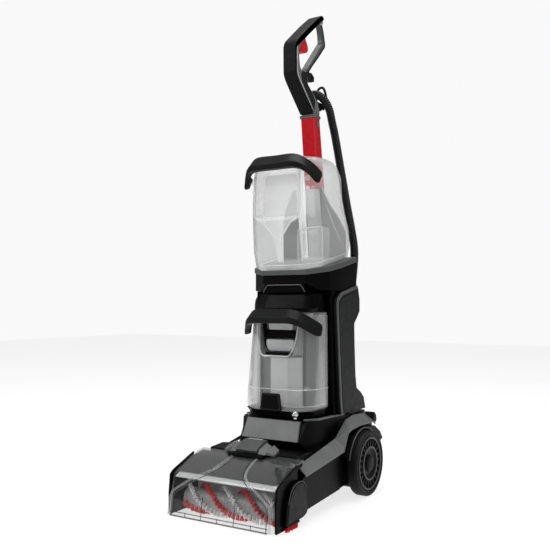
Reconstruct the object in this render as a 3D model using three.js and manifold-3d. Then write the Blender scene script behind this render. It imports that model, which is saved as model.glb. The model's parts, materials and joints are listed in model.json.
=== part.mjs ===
// Upright carpet cleaner: a wheeled floor head, a reclining body with two lift-off tanks, and a
// pole with a looped handle. Millimetres, +Z up, front towards -Y. Shapes are laid out from the
// wheel axle, and the machine is then moved so that its origin is under the middle of its box.
import * as THREE from "three";
import { mergeVertices } from "three/addons/utils/BufferGeometryUtils.js";
import Module from "manifold-3d";

const wasm = await Module();
wasm.setup();

// ---- driving dimensions -------------------------------------------------------------------
const GAP = 0.3; // clearance between pieces that touch
const AXLE_Y = 123; // where the wheel axle stands in the finished frame
const WHEEL_R = 70;
const AXLE_Z = WHEEL_R;
const AXLE_R = 8;
const TYRE_INNER_X = 127;
const TYRE_OUTER_X = 153;
const RIM_R = 57;
const HEAD_HALF = 126; // half width of the floor head
const CHEEK_HALF = 104; // half width of the part of the head that stands between the rails
const ARM_INNER_X = 108; // the head's rear arms carry the axle beside the body
const ARM_OUTER_X = 124;
const HOOD_HALF = 121;
const HOOD_WALL = 3;
const BRUSH_Y = -302;
const BRUSH_Z = 31;
const BRUSH_CORE_R = 16;
const BRUSH_TUFT_R = 29;
const BRUSH_HALF = 112;
const POD_TOP = 174;
const SPINE_HALF = 96.7; // half width of the spine without its side panels
const PANEL_OUTER_X = 105;
const SPINE_TOP = 446.5;
const SPINE_REAR = 16;
const COVER_REAR = 62; // rear face of the cover on the back of the spine
const SHELF_SLOPE = 0.22; // rise of the clean tank's shelf per unit towards the rear
const SHELF_FRONT_Y = -116;
const SHELF_FRONT_TOP = 492;
const RIM_PLATE = 12; // thickness of the light plate round the top of the shelf
const TANK_WALL = 2.5;
const POLE_BOTTOM = 685;
const POLE_TOP = 849;
const POLE_HALF = 19;
const POLE_LEAN = 0.13; // the pole leans forwards by this much per unit of height
const POLE_BOTTOM_Y = 27.5;
const HANDLE_HALF = 14.5;
const SKIN = 4; // thickness of the soft skin on the outside of the handle
const HOSE_R = 10;
const CUFF_X = 43;
const CUFF_Y = 92;
const CUFF_BOTTOM = 150;
const CUFF_TOP = 185;
const TOOL_X = -58;
const TOOL_Y = 92;
const TOOL_TOP = 330; // where the hose goes into the tool's connector

// ---- solids -------------------------------------------------------------------------------
function toSolid(geometry) {
  const bare = geometry.clone();
  bare.deleteAttribute("normal");
  bare.deleteAttribute("uv");
  const merged = mergeVertices(bare, 1e-3);
  const mesh = new wasm.Mesh({
    numProp: 3,
    vertProperties: new Float32Array(merged.attributes.position.array),
    triVerts: new Uint32Array(merged.index.array),
  });
  return new wasm.Manifold(mesh);
}

function toGeometry(solid) {
  const mesh = solid.getMesh();
  const geometry = new THREE.BufferGeometry();
  geometry.setAttribute("position", new THREE.BufferAttribute(new Float32Array(mesh.vertProperties), 3));
  geometry.setIndex(new THREE.BufferAttribute(new Uint32Array(mesh.triVerts), 1));
  return geometry;
}

function join(...pieces) {
  return toGeometry(pieces.map(toSolid).reduce((sum, piece) => sum.add(piece)));
}

function cut(body, ...tools) {
  return toGeometry(tools.map(toSolid).reduce((rest, tool) => rest.subtract(tool), toSolid(body)));
}

function common(...pieces) {
  return toGeometry(pieces.map(toSolid).reduce((shared, piece) => shared.intersect(piece)));
}

// A closed outline whose corners are rounded by up to `radius`.
function outline(points, radius = 0) {
  const corners = points.map(([u, v]) => new THREE.Vector2(u, v));
  if (radius === 0) return new THREE.Shape(corners);
  const shape = new THREE.Shape();
  corners.forEach((corner, i) => {
    const before = corners[(i + corners.length - 1) % corners.length];
    const after = corners[(i + 1) % corners.length];
    const reach = Math.min(radius, corner.distanceTo(before) * 0.45, corner.distanceTo(after) * 0.45);
    const start = before.clone().sub(corner).setLength(reach).add(corner);
    const end = after.clone().sub(corner).setLength(reach).add(corner);
    if (i === 0) shape.moveTo(start.x, start.y);
    else shape.lineTo(start.x, start.y);
    shape.quadraticCurveTo(corner.x, corner.y, end.x, end.y);
  });
  shape.closePath();
  return shape;
}

function prism(shape, depth, curveSegments = 3) {
  return new THREE.ExtrudeGeometry(shape, { depth, bevelEnabled: false, curveSegments });
}

// Prisms along each axis: the outline's points are [y, z], [x, z] and [x, y].
function prismX(points, from, to, radius = 0) {
  const turn = new THREE.Matrix4().makeBasis(
    new THREE.Vector3(0, 1, 0),
    new THREE.Vector3(0, 0, 1),
    new THREE.Vector3(1, 0, 0),
  );
  return prism(outline(points, radius), to - from).applyMatrix4(turn).translate(from, 0, 0);
}

function prismY(points, from, to, radius = 0) {
  return prism(outline(points, radius), to - from).rotateX(Math.PI / 2).translate(0, to, 0);
}

function prismZ(points, from, to, radius = 0) {
  return prism(outline(points, radius), to - from).translate(0, 0, from);
}

// A list of [x, y] points on the right, completed by its mirror image on the left.
function bothSides(half) {
  return [...half, ...half.map(([x, y]) => [-x, y]).reverse()];
}

function mirrored(geometry) {
  const copy = (geometry.index ? geometry.toNonIndexed() : geometry.clone()).scale(-1, 1, 1);
  const place = copy.attributes.position;
  for (let i = 0; i < place.count; i += 3) {
    const [x, y, z] = [place.getX(i), place.getY(i), place.getZ(i)];
    place.setXYZ(i, place.getX(i + 1), place.getY(i + 1), place.getZ(i + 1));
    place.setXYZ(i + 1, x, y, z);
  }
  return copy;
}

// A closed skin over rings of [x, y, z] points; each ring turns anticlockwise seen from its end.
function loft(rings, flat = ([x, y]) => [x, y]) {
  const count = rings[0].length;
  const index = [];
  for (let r = 0; r + 1 < rings.length; r += 1) {
    for (let i = 0; i < count; i += 1) {
      const [a, b] = [r * count + i, r * count + ((i + 1) % count)];
      index.push(a, b, b + count, a, b + count, a + count);
    }
  }
  const top = (rings.length - 1) * count;
  const face = (ring) => THREE.ShapeUtils.triangulateShape(ring.map((p) => new THREE.Vector2(...flat(p))), []);
  for (const [a, b, c] of face(rings[0])) index.push(c, b, a);
  for (const [a, b, c] of face(rings[rings.length - 1])) index.push(top + a, top + b, top + c);
  const geometry = new THREE.BufferGeometry();
  geometry.setAttribute("position", new THREE.Float32BufferAttribute(rings.flat(2), 3));
  geometry.setIndex(index);
  return geometry;
}

// Cylinders along each axis, from one end to the other.
function rodX(radius, from, to, y, z, sides = 24) {
  const rod = new THREE.CylinderGeometry(radius, radius, to - from, sides);
  return rod.rotateZ(Math.PI / 2).translate((from + to) / 2, y, z);
}

function rodY(radius, from, to, x, z, sides = 24) {
  return new THREE.CylinderGeometry(radius, radius, to - from, sides).translate(x, (from + to) / 2, z);
}

function rodZ(radius, from, to, x, y, sides = 24) {
  const rod = new THREE.CylinderGeometry(radius, radius, to - from, sides);
  return rod.rotateX(Math.PI / 2).translate(x, y, (from + to) / 2);
}

// A turned piece on the X axis through the axle; its profile's points are [radius, x].
function turnedX(profile, y, z, sides) {
  const points = profile.map(([radius, x]) => new THREE.Vector2(radius, x));
  return new THREE.LatheGeometry(points, sides).rotateZ(-Math.PI / 2).translate(0, y, z);
}

// An open line of [y, z] points moved sideways by `distance`, to its right as it is walked.
function beside(points, distance) {
  const line = points.map(([u, v]) => new THREE.Vector2(u, v));
  const normal = (a, b) => new THREE.Vector2(b.y - a.y, a.x - b.x).normalize();
  return line.map((point, i) => {
    const before = i > 0 ? normal(line[i - 1], point) : normal(point, line[i + 1]);
    const after = i + 1 < line.length ? normal(point, line[i + 1]) : before;
    const middle = before.clone().add(after).normalize();
    const moved = middle.multiplyScalar(distance / middle.dot(after)).add(point);
    return [moved.x, moved.y];
  });
}

// ---- materials and the scene graph --------------------------------------------------------
const FINISH = {
  black: { color: 0x141516, roughness: 0.42 },
  dark: { color: 0x2b2d2d, roughness: 0.5 },
  grey: { color: 0x8f9294, roughness: 0.4 },
  trim: { color: 0x5f6162, roughness: 0.45 },
  red: { color: 0xd71a24, roughness: 0.3 },
  clear: { color: 0xb9bec0, roughness: 0.08, transparent: true, opacity: 0.4 },
  rubber: { color: 0x0c0c0d, roughness: 0.7 },
  core: { color: 0xa7aaad, roughness: 0.5 },
  metal: { color: 0xd8dadc, roughness: 0.15, metalness: 1 },
};

const machine = new THREE.Group();

function body(parent = machine) {
  const group = new THREE.Group();
  parent.add(group);
  return group;
}

function add(group, name, geometry, finish) {
  const mesh = new THREE.Mesh(geometry, new THREE.MeshStandardMaterial(FINISH[finish]));
  mesh.name = name;
  group.add(mesh);
}

function addPair(group, name, geometry, finish) {
  add(group, `${name}_right`, geometry, finish);
  add(group, `${name}_left`, mirrored(geometry), finish);
}

// ---- floor head ---------------------------------------------------------------------------
const HEAD_FRONT = -262; // front wall of the head's solid part, behind the brush
const HOOD_REAR = -240;

function baseHousing() {
  const middle = [
    [HEAD_FRONT, 20], [-205, 24], [-78, 32], [-78, 88], [-150, 104], [-176, 119],
    [-196, 122], [HOOD_REAR + 1.5, 119], [HOOD_REAR + 1.5, 110], [HEAD_FRONT, 102],
  ];
  const side = [
    [HEAD_FRONT, 20], [-205, 24], [-90, 32], [62, 40], [74, 120], [70, 148], [-40, 148],
    [-60, 133], [-92, 106], [-246, 86], [HEAD_FRONT, 80],
  ];
  const block = prismX(middle, -CHEEK_HALF, CHEEK_HALF);
  const wide = prismX(side, CHEEK_HALF - 1, ARM_OUTER_X);
  const bay = prismX([[-77.5, 0], [90, 0], [90, 200], [-77.5, 200]], 0, ARM_INNER_X);
  const flank = prismX([[HEAD_FRONT, 20], [-205, 24], [-96, 31], [-96, 104], [-246, 86], [HEAD_FRONT, 80]],
    ARM_OUTER_X - 1, HEAD_HALF);
  const side3 = join(cut(wide, bay), flank);
  const bore = rodX(AXLE_R + GAP, -ARM_OUTER_X - 1, ARM_OUTER_X + 1, 0, AXLE_Z);
  return cut(join(block, side3, mirrored(side3)), bore);
}

function rail() {
  // Stations along the rail: the inner edge's y and z, then the outer edge's.
  const stations = [
    [-242, 104, -254, 93], [-86, 131.5, -88, 112], [-48, 156, -68, 147],
    [-34, 166, -50, 152], [6, 172, -6, 155], [62, 169, 56, 154], [72, 161, 71, 147],
  ];
  const thick = 5;
  const [inner, outer] = [107.5, 134];
  const rings = stations.map(([yi, zi, yo, zo]) => [
    [inner, yi, zi - thick], [outer, yo, zo - thick], [outer, yo, zo], [inner, yi, zi],
  ]);
  return loft(rings.map((ring) => ring.reverse()), ([x, , z]) => [z, x]);
}

function fender() {
  const back = [[-90, 98], [-66, 129], [-30, 145], [17, 147], [60, 142], [88, 126], [103, 108]];
  const arch = [];
  for (let i = 0; i <= 10; i += 1) {
    const angle = THREE.MathUtils.degToRad(22 + i * 14.4);
    arch.push([(WHEEL_R + 4) * Math.cos(angle), AXLE_Z + (WHEEL_R + 4) * Math.sin(angle)]);
  }
  return prismX([...back, ...arch].reverse(), ARM_OUTER_X + GAP, 137);
}

// The hood is a bent wall: this is its outside, from the front lip up and back.
const HOOD_LINE = [[-358, 5], [-352, 44], [-343, 81], [-335, 87], [-270, 112], [HOOD_REAR, 117]];

function nozzleHood() {
  const wall = [...HOOD_LINE, ...beside(HOOD_LINE, HOOD_WALL).reverse()];
  const sheet = prismX(wall.reverse(), -HOOD_HALF, HOOD_HALF);
  const plan = bothSides([[HOOD_HALF - 5, -360], [HOOD_HALF, -347], [HOOD_HALF, -235]]);
  return common(sheet, prismZ(plan, 0, 140));
}

function hoodEnd() {
  const edge = beside(HOOD_LINE, -1.5).slice(1, 5);
  const points = [[-347, 3], [-348, 44], ...edge.slice(1), [-272, 80], [-272, 3]];
  return prismX(points.reverse(), HOOD_HALF + GAP, HEAD_HALF);
}

function sideCap() {
  const points = [[-328, 12], [-322, 52], [-309, 76], [-288, 87], [-264, 86], [-250, 72], [-246, 22], [-262, 16]];
  return prismX(points.reverse(), HEAD_HALF + GAP, 134, 8);
}

function buildHead() {
  const head = body();
  add(head, "base_housing", baseHousing(), "black");
  const sole = [[HEAD_FRONT, 16], [-205, 20], [-80, 28], [-80, 31.5], [-205, 23.7], [HEAD_FRONT, 19.7]];
  add(head, "base_sole", prismX(sole, -112, 112), "black");
  const runner = [[-256, 15.4], [-250, 0], [-214, 0], [-208, 19]];
  addPair(head, "skid", prismX(runner, 62, 98), "rubber");
  addPair(head, "rail", rail(), "grey");
  addPair(head, "fender", fender(), "black");
  addPair(head, "hood_end", hoodEnd(), "black");
  addPair(head, "side_cap", sideCap(), "dark");
  addPair(head, "edge_brush", prismX([[-322, 1], [-282, 1], [-280, 11.5], [-324, 11.5]], 126.5, 134), "red");
  add(head, "axle", rodX(AXLE_R, -TYRE_OUTER_X + 4, TYRE_OUTER_X - 4, 0, AXLE_Z), "metal");
}

function buildHood() {
  const hood = body();
  add(hood, "nozzle_hood", nozzleHood(), "clear");
  const plate = [[-258, 120.5], [-262, 127], [-229, 142], [-222, 142], [-219, 136], [-224, 132]];
  const plan = bothSides([[68, -264], [62, -238], [24, -222], [20, -214]]);
  const lever = common(prismX(plate.reverse(), -70, 70), prismZ(plan, 100, 160));
  add(body(hood), "hood_latch", lever, "trim");
}

function buildBrush() {
  const roll = body();
  add(roll, "brush_core", rodX(BRUSH_CORE_R, -BRUSH_HALF, BRUSH_HALF, BRUSH_Y, BRUSH_Z, 20), "core");
  const sleeve = [
    [BRUSH_CORE_R + GAP, -104], [BRUSH_TUFT_R, -104], [BRUSH_TUFT_R, 104], [BRUSH_CORE_R + GAP, 104],
    [BRUSH_CORE_R + GAP, -104],
  ];
  add(roll, "brush_tufts", turnedX(sleeve, BRUSH_Y, BRUSH_Z, 20), "red");
}

function buildWheel(name, side) {
  const wheel = body();
  const tyre = [
    [RIM_R + GAP, TYRE_INNER_X], [WHEEL_R - 3, TYRE_INNER_X], [WHEEL_R, TYRE_INNER_X + 4],
    [WHEEL_R, TYRE_OUTER_X - 4], [WHEEL_R - 3, TYRE_OUTER_X], [RIM_R + GAP, TYRE_OUTER_X],
    [RIM_R + GAP, TYRE_INNER_X],
  ];
  const bore = AXLE_R + GAP;
  const rim = [
    [bore, 130], [RIM_R, 130], [RIM_R, 150], [50, 150], [46, 147], [26, 145], [20, 150], [13, 153], [bore, 153],
    [bore, 130],
  ];
  const place = (profile, sides) => {
    const turned = turnedX(profile, 0, AXLE_Z, sides);
    return side > 0 ? turned : mirrored(turned);
  };
  add(wheel, `tyre_${name}`, place(tyre, 36), "rubber");
  add(wheel, `rim_${name}`, place(rim, 28), "trim");
}

// ---- reclining body -----------------------------------------------------------------------
function podHousing() {
  const plan = bothSides([[67, -176], [92, -128], [98, -60], [CHEEK_HALF, -30], [CHEEK_HALF, 76]]);
  const side = [
    [-169.8, 134], [-152, POD_TOP - GAP], [76, POD_TOP - GAP], [76, 100], [60, 62], [44, 28], [0, 12],
    [-44, 28], [-62, 60], [-70, 95], [-150, 113],
  ];
  const block = common(prismZ(plan, 5, 180), prismX(side.reverse(), -110, 110));
  return cut(block, rodX(AXLE_R + 0.8, -120, 120, 0, AXLE_Z));
}

function spineHousing() {
  const core = prismX([[-58, POD_TOP], [SPINE_REAR, POD_TOP], [SPINE_REAR, SPINE_TOP], [-58, SPINE_TOP]],
    -SPINE_HALF, SPINE_HALF);
  const front = [[-40, POD_TOP + 5], [-40, SPINE_TOP], [-73, SPINE_TOP], [-73, 384], [-64, POD_TOP + 5]];
  const cheek = prismX(front.reverse(), 89, SPINE_HALF);
  return join(core, cheek, mirrored(cheek));
}

// Outside of the side panels, seen from the side.
const PANEL_FRONT = [[-48, 177], [-53, 210], [-61, 318], [-68, 413], [-65, 428], [-46, 443], [34, 460]];
const PANEL_REAR = [[42, 456], [50, 428], [50, 401], [39, 389], [22, 373], [23, 325], [27, 257], [33, 228],
  [54, 217], [70, 204], [79, 177]];

function panelEdge() {
  const strip = [...PANEL_FRONT, ...beside(PANEL_FRONT, 8).reverse()];
  return prismX(strip.reverse(), PANEL_OUTER_X, PANEL_OUTER_X + 1.5);
}

function rearCover() {
  const plan = bothSides([[94, SPINE_REAR + GAP], [88, 30], [60, COVER_REAR]]);
  const side = [[10, 180], [58, 180], [COVER_REAR, 200], [COVER_REAR, 430], [50, SPINE_TOP], [10, SPINE_TOP]];
  const block = common(prismZ(plan.reverse(), 170, 460), prismX(side, -100, 100));
  return cut(block, rodY(12.5, COVER_REAR - 9, COVER_REAR + 1, -5, 330, 20));
}

// The shelf's parts all lie under planes that rise to the rear.
const shelfTop = (y, below = 0) => SHELF_FRONT_TOP - below + (y - SHELF_FRONT_Y) * SHELF_SLOPE;

function shelfHousing() {
  const plan = bothSides([[54, -113], [95, -81], [103, -40], [103, 36], [60, 76]]);
  const top = RIM_PLATE + GAP;
  const side = [
    [-93, SPINE_TOP + GAP], [-112, 462], [-114, shelfTop(-114, top)], [34, shelfTop(34, top)], [78, 520],
    [78, 470], [52, SPINE_TOP + GAP],
  ];
  const block = common(prismZ(plan, 440, 540), prismX(side.reverse(), -110, 110));
  const panelTop = [[-70, 440], [-46, 443.6], [34, 460.6], [44, 457], [60, 440]];
  const seat = prismX(panelTop.reverse(), SPINE_HALF, 110);
  return cut(block, rodZ(27, 480, 530, 0, -55, 20), seat, mirrored(seat));
}

function shelfRim() {
  const plan = bothSides([[55, -116], [97, -83], [PANEL_OUTER_X, -40], [PANEL_OUTER_X, 34], [30, 34], [30, 24]]);
  const [near, far] = [SHELF_FRONT_Y, 40];
  const side = [
    [near, shelfTop(near, RIM_PLATE)], [far, shelfTop(far, RIM_PLATE)], [far, shelfTop(far)], [near, shelfTop(near)],
  ];
  const plate = common(prismZ(plan, 440, 560), prismX(side, -110, 110));
  return cut(plate, rodZ(27, 480, 540, 0, -55, 20));
}

const poleCentre = (z) => POLE_BOTTOM_Y + (POLE_BOTTOM - z) * POLE_LEAN;

// A leaning rectangular tube with bevelled corners.
function leaning(from, to, halfFrom, halfTo, depthFrom, depthTo) {
  const bevel = 5;
  const ring = (z, half, depth) => {
    const y = poleCentre(z);
    const corners = [[half, -depth + bevel], [half, depth - bevel], [half - bevel, depth], [bevel - half, depth],
      [-half, depth - bevel], [-half, bevel - depth], [bevel - half, -depth], [half - bevel, -depth]];
    return corners.map(([x, d]) => [x, y + d, z]);
  };
  return loft([ring(from, halfFrom, depthFrom), ring(to, halfTo, depthTo)]);
}

// ---- handle -------------------------------------------------------------------------------
// Outside of the handle, from the bottom of the neck up the front and over to the rear tip.
const HANDLE_FRONT = [[-12, 856.5], [-29, 872], [-80, 919], [-89, 932], [-90, 995], [-84, 1008], [-16, 1066],
  [27, 1099], [39, 1104], [48, 1098]];
const HANDLE_REAR = [[38, 1084], [28, 1080], [10, 1069.5], [-26, 1037], [-61, 1005], [-68.5, 992], [-68.5, 971],
  [-65, 953], [-58, 946], [-33, 951], [-31, 936], [-30, 922], [-6, 907], [18, 889], [27, 870], [26, 856.5]];
const HANDLE_STRUT = [[28, 1086], [40, 1093], [50, 1090], [59, 1070], [66.5, 1046], [66.5, 1037], [32, 1001],
  [3, 973], [-15, 953], [-27, 940], [-40, 934], [-42, 944], [-22, 960], [12, 997], [53, 1042], [54, 1050],
  [51.5, 1067], [45, 1083], [36, 1082], [28, 1078]];
const STRUT_HALF = 7.5;

function handleFrame() {
  const edge = beside(HANDLE_FRONT, SKIN + GAP);
  const grip = prismX([...edge, ...HANDLE_REAR].reverse(), -HANDLE_HALF, HANDLE_HALF, 3);
  const strut = prismX([...HANDLE_STRUT].reverse(), -STRUT_HALF, STRUT_HALF, 3);
  const pocket = prismX([[-64, 1010], [-56, 998], [-22, 1030], [-34, 1043]], -10, 10);
  return cut(join(grip, strut), pocket);
}

function gripSkin() {
  return prismX([...HANDLE_FRONT, ...beside(HANDLE_FRONT, SKIN).reverse()].reverse(), -16.5, 16.5);
}

function trigger() {
  const points = [[-60, 1003], [-54, 991], [-40, 990.5], [-25, 996.5], [-18.5, 1004], [-21, 1014], [-28, 1022],
    [-34, 1031], [-41, 1026]];
  return prismX(points.reverse(), -9, 9, 3);
}

function hoseHook() {
  const arm = prismX([[30, 873], [21, 891.5], [14, 897], [14, 903], [76, 903], [84, 898], [70, 884], [46, 876]].reverse(),
    -14, -4);
  const tongue = prismX([[73, 900], [73, 940], [77, 947], [82, 947], [84, 943], [84, 896]].reverse(), -26, 7);
  return join(arm, tongue);
}

function buildUpright() {
  const upright = body();
  add(upright, "pod_housing", podHousing(), "black");
  const band = [[-175.4, 134], [-157.6, POD_TOP], [-152.4, POD_TOP], [-170.2, 134]];
  const face = prismY([[-69, 130], [69, 130], [65, 180], [-65, 180]], -180, -150);
  add(upright, "pod_band", common(prismX(band.reverse(), -70, 70), face), "grey");
  add(upright, "spine_housing", spineHousing(), "black");
  const panel = [...PANEL_FRONT, ...PANEL_REAR].reverse();
  addPair(upright, "side_panel", prismX(panel, SPINE_HALF + GAP, PANEL_OUTER_X - GAP), "dark");
  addPair(upright, "panel_edge", panelEdge(), "trim");
  add(upright, "rear_cover", rearCover(), "black");
  add(upright, "shelf_housing", shelfHousing(), "black");
  add(upright, "shelf_rim", shelfRim(), "grey");
  add(upright, "lower_column", leaning(521, POLE_BOTTOM - GAP, POLE_HALF, POLE_HALF, 18, 18), "grey");
  const redPole = leaning(POLE_BOTTOM, POLE_TOP, POLE_HALF, POLE_HALF, 18, 15.5);
  const seat = prismX([[2, 829], [14, 829], [14, 841], [2, 841]], POLE_HALF - 5, POLE_HALF + 1);
  add(upright, "pole", cut(redPole, seat), "red");
  add(upright, "collar", leaning(POLE_TOP + GAP, 856, 20.5, 20.5, 17.5, 17.5), "grey");
  add(upright, "handle_frame", handleFrame(), "grey");
  add(upright, "grip_skin", gripSkin(), "black");
  add(upright, "hose_hook", hoseHook(), "black");
  add(body(upright), "trigger", trigger(), "red");
  add(body(upright), "pole_button", prismX([[2.5, 829.5], [13.5, 829.5], [13.5, 840.5], [2.5, 840.5]],
    POLE_HALF - 1.5, POLE_HALF + 2), "grey");
  add(body(upright), "power_button", rodY(12, COVER_REAR - 4, COVER_REAR + 5, -5, 330, 20), "red");
  buildRear(upright);
  buildCleanTank(upright);
  buildDirtyTank(upright);
}

// ---- rear of the body: hose, tool and cord hooks --------------------------------------------
const HOSE_ROUTE = [
  [CUFF_X, CUFF_Y, CUFF_TOP + GAP], [43, 92, 230], [43, 91, 290], [44, 90, 345], [48, 91, 395], [60, 91, 440],
  [69, 90, 490], [72, 90, 545], [67, 88, 587], [54, 86, 658], [40, 82, 745], [30, 72, 824], [26, 66, 853],
  [22, 61, 880], [14, 57, 900], [1, 54, 915], [-15, 56, 923], [-33, 61, 920], [-48, 74, 905], [-58, 89, 878],
  [-60, 99, 845], [-58, 102, 780], [-56, 102, 700], [-53, 101, 610], [-48, 101, 520], [-53, 96, 435],
  [-58, 92, 365], [TOOL_X, TOOL_Y, TOOL_TOP + GAP],
];

function hose() {
  const path = new THREE.CatmullRomCurve3(HOSE_ROUTE.map((p) => new THREE.Vector3(...p)), false, "centripetal");
  const sides = 10;
  const ring = new THREE.Shape();
  ring.setFromPoints(Array.from({ length: sides }, (_, i) => {
    const angle = (i / sides) * Math.PI * 2;
    return new THREE.Vector2(HOSE_R * Math.cos(angle), HOSE_R * Math.sin(angle));
  }));
  return new THREE.ExtrudeGeometry(ring, { steps: 64, bevelEnabled: false, extrudePath: path });
}

function cleaningTool() {
  const round = (radius, z) => {
    const ring = [];
    for (let i = 0; i < 16; i += 1) {
      const angle = (i / 16) * Math.PI * 2;
      ring.push([TOOL_X + radius * Math.cos(angle), TOOL_Y + radius * Math.sin(angle), z]);
    }
    return ring;
  };
  const mouth = (half, front, rear, z) => round(1, z).map(([x, y]) => {
    const [u, v] = [x - TOOL_X, y - TOOL_Y];
    const size = Math.max(Math.abs(u), Math.abs(v));
    return [TOOL_X + (u / size) * half, TOOL_Y + (v > 0 ? rear : front) * (v / size), z];
  });
  return loft([mouth(44, 10, 18, 150), mouth(44, 10, 18, 166), mouth(34, 11, 16, 196), round(13, 226),
    round(14, TOOL_TOP - 40 - GAP)]);
}

function toolClip() {
  const finger = [[14.6, -22], [20, -22], [20, 8], [16, 12], [13.5, 9], [15.2, 2]];
  const back = bothSides([[20, -29.7], [20, -20]]);
  const place = (points) => points.map(([x, y]) => [x + TOOL_X, y + TOOL_Y]);
  const left = finger.map(([x, y]) => [-x, y]).reverse();
  return join(prismZ(place(back), 238, 256), prismZ(place(finger), 238, 256), prismZ(place(left), 238, 256));
}

function cordHook(z, way) {
  const arm = [[COVER_REAR + GAP, z - 8], [105, z - 8], [112, z], [COVER_REAR + GAP, z + 8]];
  const tongue = [[104, z - 7], [112, z - 7], [112, z + 30], [108, z + 34], [104, z + 30]];
  const flip = (points) => points.map(([y, height]) => [y, z + way * (height - z)]);
  const turned = (points) => (way > 0 ? points : flip(points).reverse());
  return join(prismX(turned(arm), -17, 7), prismX(turned(tongue), -21, 11));
}

function buildRear(upright) {
  const elbow = join(rodY(13, 76 + GAP, CUFF_Y, CUFF_X, 128), rodZ(15, 112, CUFF_BOTTOM - GAP, CUFF_X, CUFF_Y));
  add(upright, "hose_port", elbow, "black");
  add(upright, "tool_clip", toolClip(), "black");
  add(upright, "cord_hook_lower", cordHook(228, -1), "black");
  add(body(upright), "cord_hook_upper", cordHook(400, 1), "black");
  add(upright, "cord_gland", rodY(7, COVER_REAR + GAP, COVER_REAR + 16, 30, 414, 16), "rubber");
  add(upright, "hose_cuff", rodZ(13, CUFF_BOTTOM, CUFF_TOP, CUFF_X, CUFF_Y), "trim");
  add(upright, "hose", hose(), "rubber");
  add(upright, "hose_connector", rodZ(13, TOOL_TOP - 40, TOOL_TOP, TOOL_X, TOOL_Y), "trim");
  add(upright, "cleaning_tool", cleaningTool(), "black");
}

// ---- tanks --------------------------------------------------------------------------------
// A ring of a tank: half widths of its front and sides, where they stand, and its height at y.
function tankRing(frontHalf, sideHalf, frontY, cornerY, rearHalf, rearY, height, grow = 0) {
  const half = [
    [frontHalf + grow * 0.5, frontY - grow], [sideHalf + grow, cornerY - grow * 0.5],
    [rearHalf + grow, rearY - 22], [rearHalf + grow - 12, rearY + grow],
  ];
  return bothSides(half).map(([x, y]) => [x, y, height(y)]);
}

function cleanTankShell() {
  const level = (z) => () => z;
  const floor = (lift) => (y) => shelfTop(y) + lift;
  const rings = (grow, bottom, top) => [
    tankRing(52, 84, -128, -98, 93, 26, floor(bottom), grow),
    tankRing(56, 86, -138, -104, 95, 30, (y) => 540 + (y + 60) * 0.1, grow),
    tankRing(58, 87, -143, -106, 95, 29, level(585), grow),
    tankRing(58, 87, -144, -106, 92, 2, level(640), grow),
    tankRing(57, 86, -142, -104, 91, -2, level(700), grow),
    tankRing(52, 80, -134, -98, 85, -26, level(top), grow),
  ];
  // A channel in the tank's back clears the column.
  const channel = (grow) => leaning(480, 800, POLE_HALF + 8 + grow, POLE_HALF + 8 + grow, 22 + grow, 22 + grow);
  const outside = cut(loft(rings(0, 0.5, 734)), channel(0));
  const inside = cut(loft(rings(-TANK_WALL, 0.5 + TANK_WALL, 734 - TANK_WALL)), channel(TANK_WALL));
  return cut(outside, inside, rodZ(18, 490, 530, 0, -55, 20));
}

// A carrying bail from its middle round to its right tip: back edge, front ridge and the two lower edges.
const CLEAN_BAIL = [
  [[0, -150, 738], [0, -166, 717.5], [0, -165, 706], [0, -151, 705]],
  [[44, -150, 738], [52, -166, 717.5], [52, -165, 706], [45, -151, 705]],
  [[57, -146, 735], [64, -161, 714], [65, -160, 703], [56, -149, 704]],
  [[77, -133, 722], [79, -147, 703], [80, -147, 690], [75, -135, 692]],
  [[88, -114, 707], [90, -131, 687], [91.5, -133, 672], [88, -118, 676]],
  [[88.5, -101, 700], [93, -108, 690], [93, -121, 674.5], [88.5, -116, 676]],
];
const DIRTY_BAIL = [
  [[0, -157, 408], [0, -174, 389], [0, -173, 377], [0, -158, 376]],
  [[46, -157, 407], [52, -173.5, 388.5], [52, -172.5, 376], [47, -158, 375.5]],
  [[57, -151, 404], [64, -166, 384], [65, -165, 371], [57, -153, 373]],
  [[76, -133, 391], [80, -146, 372], [81, -146, 358], [76, -134, 361]],
  [[88, -115, 379], [91, -128, 362], [92, -130, 349], [88, -118, 352]],
  [[88.5, -103, 374], [93, -107, 367], [93, -114, 350], [88.5, -109, 352]],
];

function bail(half) {
  const left = half.slice(1).reverse().map((ring) => ring.map(([x, y, z]) => [-x, y, z]));
  return loft([...left, ...half], ([, y, z]) => [y, z]);
}

function buildCleanTank(upright) {
  const tank = body(upright);
  add(tank, "clean_tank_shell", cleanTankShell(), "clear");
  add(body(tank), "clean_bail", bail(CLEAN_BAIL), "black");
  const bottom = shelfTop(-55) - 4;
  add(body(tank), "clean_tank_cap", rodZ(24, bottom - 10, bottom - 1.6, 0, -55, 20), "dark");
}

function dirtyTankRings(grow, bottom, top) {
  const level = (z) => () => z;
  return [
    tankRing(54, 84, -163, -134, 87.5, -62, level(bottom), grow),
    tankRing(54, 84, -158, -128, 87.5, -62, level(260), grow),
    tankRing(52, 82, -144, -118, 86, -62, level(340), grow),
    tankRing(50, 80, -138, -112, 85, -62, level(top), grow),
  ];
}

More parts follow.
